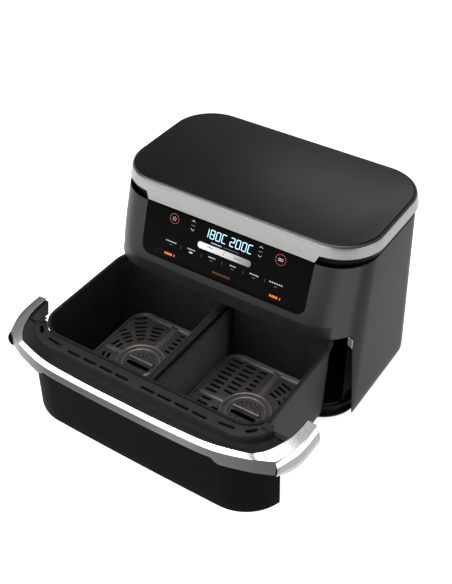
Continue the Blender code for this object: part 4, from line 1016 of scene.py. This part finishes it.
def build_crisper(side, sign):
    low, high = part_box(f"{side}_crisper_plate")
    inner, outer = (low[0], high[0]) if sign > 0 else (-high[0], -low[0])
    front, rear = low[1], high[1]
    top = high[2] - 0.0035
    under = top - 0.0014
    body = f"{side}_crisper"

    def ring(extra, z, radius=0.030):
        points = plan((outer - inner) / 2 + extra, front - extra, rear + extra, radius + extra,
                      radius + extra, front_points=8)
        return [(sign * (x + (inner + outer) / 2), y, z) for x, y in points]

    rows = [ring(-0.0080, under), ring(-0.0050, under), ring(-0.0034, under + 0.0010),
            ring(-0.0016, under + 0.0040),
            ring(-0.0003, under + 0.0042), ring(0.0, top + 0.0026), ring(-0.0004, top + 0.0032),
            ring(-0.0014, top + 0.0035),
            ring(-0.0026, top + 0.0030), ring(-0.0036, top + 0.0014), ring(-0.0048, top + 0.0002),
            ring(-0.0070, top),
            ring(-0.0076, top + 0.0006), ring(-0.0086, top + 0.0008), ring(-0.0096, top + 0.0006),
            ring(-0.0102, top)]
    plate = put(f"{side}_crisper_tray", loft(rows), M["plate"], body, angle=45)
    boss = (sign * BOSS_X, (front + rear) / 2)
    tools = bmesh.new()

    def slot(x, y, angle, length, width=0.0048):
        slot_solid((sign * x, y), sign * angle, length, width, top - 0.01, top + 0.01, steps=6, bm=tools)

    def clear(x, y, distance):
        return math.hypot(BOSS_X - x, y - boss[1]) > distance

    for row in range(8):
        y = boss[1] + 0.0895 - row * SLOT_PITCH
        for x, length in ((0.0300, 0.0200), (0.0560, 0.0200), (0.0795, 0.0130)):
            if clear(x, y, 0.0485) and (row < 7 or x < 0.04):
                slot(x, y, 0.0, length)
    for row in range(6):
        y = boss[1] - 0.0070 - row * SLOT_PITCH
        for x, length in ((0.0330, 0.0190), (0.0560, 0.0120)):
            if clear(x, y, 0.0470):
                slot(x, y, 0.0, length)
    for radius in (0.0578, 0.0675, 0.0770, 0.0870, 0.0980, 0.1100):
        for degrees in (-62.0, -40.0, -15.0, 14.5, 33.5, 53.0, 73.0):
            angle = math.radians(degrees)
            x, y = BOSS_X + radius * math.cos(angle), boss[1] + radius * math.sin(angle)
            if x < outer - 0.0085 and front + 0.0140 < y < rear - 0.0140:
                edge = min((outer - 0.0050 - x) / max(abs(math.sin(angle)), 0.01),
                           (rear - 0.0110 - y) / max(math.cos(angle), 0.01)) * 2
                slot(x, y, angle + math.pi / 2, max(0.0070, min(0.245 * radius, edge)))
    for radius, first, last, count in ((0.0225, 25, 155, 8), (0.0165, 42, 138, 5), (0.0240, 224, 316, 7),
                                       (0.0186, 246, 294, 3)):
        for x, y in arc(BOSS_X, boss[1], radius, first, last - first, count - 1):
            slot(x, y, 0.0, 0.0030, 0.0030)
    slot_solid((boss[0], boss[1] - 0.0076), 0.0, 0.0460, 0.0092, top - 0.01, top + 0.01, steps=3, bm=tools)
    cut(plate, hidden("plate_tool", tools))
    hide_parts(f"{side}_crisper_plate")

    relief = bmesh.new()

    def ridge(points, half_width, height):
        rows = []
        for i, (x, y) in enumerate(points):
            across = square_to(points, i) * half_width
            rows.append([(x + across.x * s, y + across.y * s, top - 0.0003 + (height + 0.0003) * h)
                         for s, h in ((-1, 0), (-0.75, 0.7), (-0.35, 1), (0.35, 1), (0.75, 0.7), (1, 0))])
        loft(rows, bm=relief)

    for radius, half_width, height in ((0.0400, 0.0027, 0.0036), (0.0310, 0.0026, 0.0030)):
        ridge(arc(*boss, radius, 0, 360, 60), half_width, height)
    for end in (boss[1] + 0.0420, rear - 0.0090), (boss[1] - 0.0420, front + 0.0090):
        ridge([(boss[0], y) for y in end], 0.0052, 0.0016)
    for end in (0.1435, outer - 0.0085), (0.0595, inner + 0.0085):
        ridge([(sign * x, boss[1] + 0.0030) for x in end], 0.0050, 0.0016)
    for y, half_width, height in ((boss[1] + 0.0016, 0.0034, 0.0062), (boss[1] - 0.0140, 0.0008, 0.0022)):
        ridge([(boss[0] - 0.0235, y), (boss[0] + 0.0235, y)], half_width, height)
    for x0, x1 in ((inner + 0.0120, 0.0945), (0.1090, outer - 0.0220)):
        ridge([(sign * x0, rear - 0.0072), (sign * x1, rear - 0.0072)], 0.0024, 0.0028)
    # The raised relief takes the lighter copy of the coating: painted highlight.
    put(f"{side}_crisper_relief", relief, M["relief"], body, angle=60)


# ---------------------------------------------------------------- pieces kept from the CAD
def repaint(node, mat, width=0.0):
    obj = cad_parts[node]
    for slot in obj.material_slots:
        slot.material = mat
    if width:
        bevel(obj, width, 2, 30)


def build_rest():
    """Paints the CAD's own pieces, softens some edges, and adds the liner's flanges."""
    for side in ("left", "right"):
        for part, mat in (("fan_guard", "steel"), ("heating_element", "element"), ("fan_motor", "motor"),
                          ("temperature_sensor", "steel"), ("fan_shaft", "steel"), ("impeller", "liner"),
                          ("cooling_fan", "black")):
            repaint(f"{side}_{part}", M[mat])
        repaint(f"{side}_runner", M["liner"], 0.0004)
        repaint(f"{side}_mouth_bracket", M["steel"], 0.0003)
        for number in (1, 2, 3, 4):
            repaint(f"{side}_plate_bumper_{number}", M["rubber"])
        for end in ("front", "rear"):
            repaint(f"{end}_{side}_foot", M["rubber"], 0.0004)
    repaint("cavity_liner", M["black"])
    repaint("rear_vent_cover", M["base"], 0.0005)
    for node, mat in (("display_module", "board"), ("control_board", "board"), ("power_board", "board"),
                      ("heat_shield", "liner"), ("cable_gland", "rubber"), ("drawer_sensor", "black"),
                      ("drawer_magnet", "steel")):
        repaint(node, M[mat], 0.0003)
    for side, sign in (("left", -1), ("right", 1)):
        xs = sorted((sign * 0.2088, sign * 0.2170))
        y = HOUSE - 0.1180
        face = ((xs[0], 0.1530), (xs[1], 0.1490), (xs[1], 0.1650), (xs[0], 0.1690))
        flange = loft([[(x, depth, z) for x, z in face] for depth in (y, y + 0.0012)])
        bevel(put(f"{side}_liner_flange", flange, M["steel"], "housing"), 0.0003)


# ---------------------------------------------------------------- floor and light
def build_stage():
    bm = bmesh.new()
    bm.faces.new([bm.verts.new(p) for p in ((-6, -6, 0), (6, -6, 0), (6, 6, 0), (-6, 6, 0))])
    floor = as_object("floor", bm)
    floor.data.materials.append(M["floor"])
    shader = M["floor"].node_tree.nodes["Principled BSDF"]
    shader.inputs["Emission Color"].default_value = (1.0, 1.0, 1.0, 1.0)
    shader.inputs["Emission Strength"].default_value = 0.85
    floor.location.z = -0.0001

    def softbox(name, place, aim, size, power):
        data = bpy.data.lights.new(name, "AREA")
        data.shape = "RECTANGLE"
        data.size, data.size_y = size
        data.energy = power
        lamp = bpy.data.objects.new(name, data)
        lamp.location = place
        lamp.rotation_euler = (Vector(aim) - Vector(place)).to_track_quat("-Z", "Y").to_euler()
        SCENE.collection.objects.link(lamp)

    softbox("overhead", (0.0, -0.1, 2.2), (0, 0, 0), (1.6, 1.6), 24)
    softbox("front_left", (-0.9, -2.0, 1.30), (0, -0.20, 0.15), (3.4, 1.6), 62)
    softbox("right_low", (2.2, 0.0, 0.4), (0.1, -0.1, 0.15), (1.6, 0.3), 4)
    softbox("back", (-0.25, 2.2, 1.9), (0.1, 0.1, 0.3), (1.8, 0.7), 13)
    world = bpy.data.worlds.new("studio")
    world.use_nodes = True
    sky = world.node_tree.nodes["Background"]
    sky.inputs["Color"].default_value = (1.0, 1.0, 1.0, 1.0)
    sky.inputs["Strength"].default_value = 0.30
    SCENE.world = world
    SCENE.view_settings.view_transform = "Standard"
    SCENE.view_settings.look = "None"
    SCENE.view_settings.exposure = 0.0


build_housing()
build_lid()
build_band()
build_collar()
build_panel()
build_base()
build_pan()
build_handle()
build_ledge()
build_fascia()
build_divider()
build_crisper("left", -1)
build_crisper("right", 1)
build_rest()
build_stage()
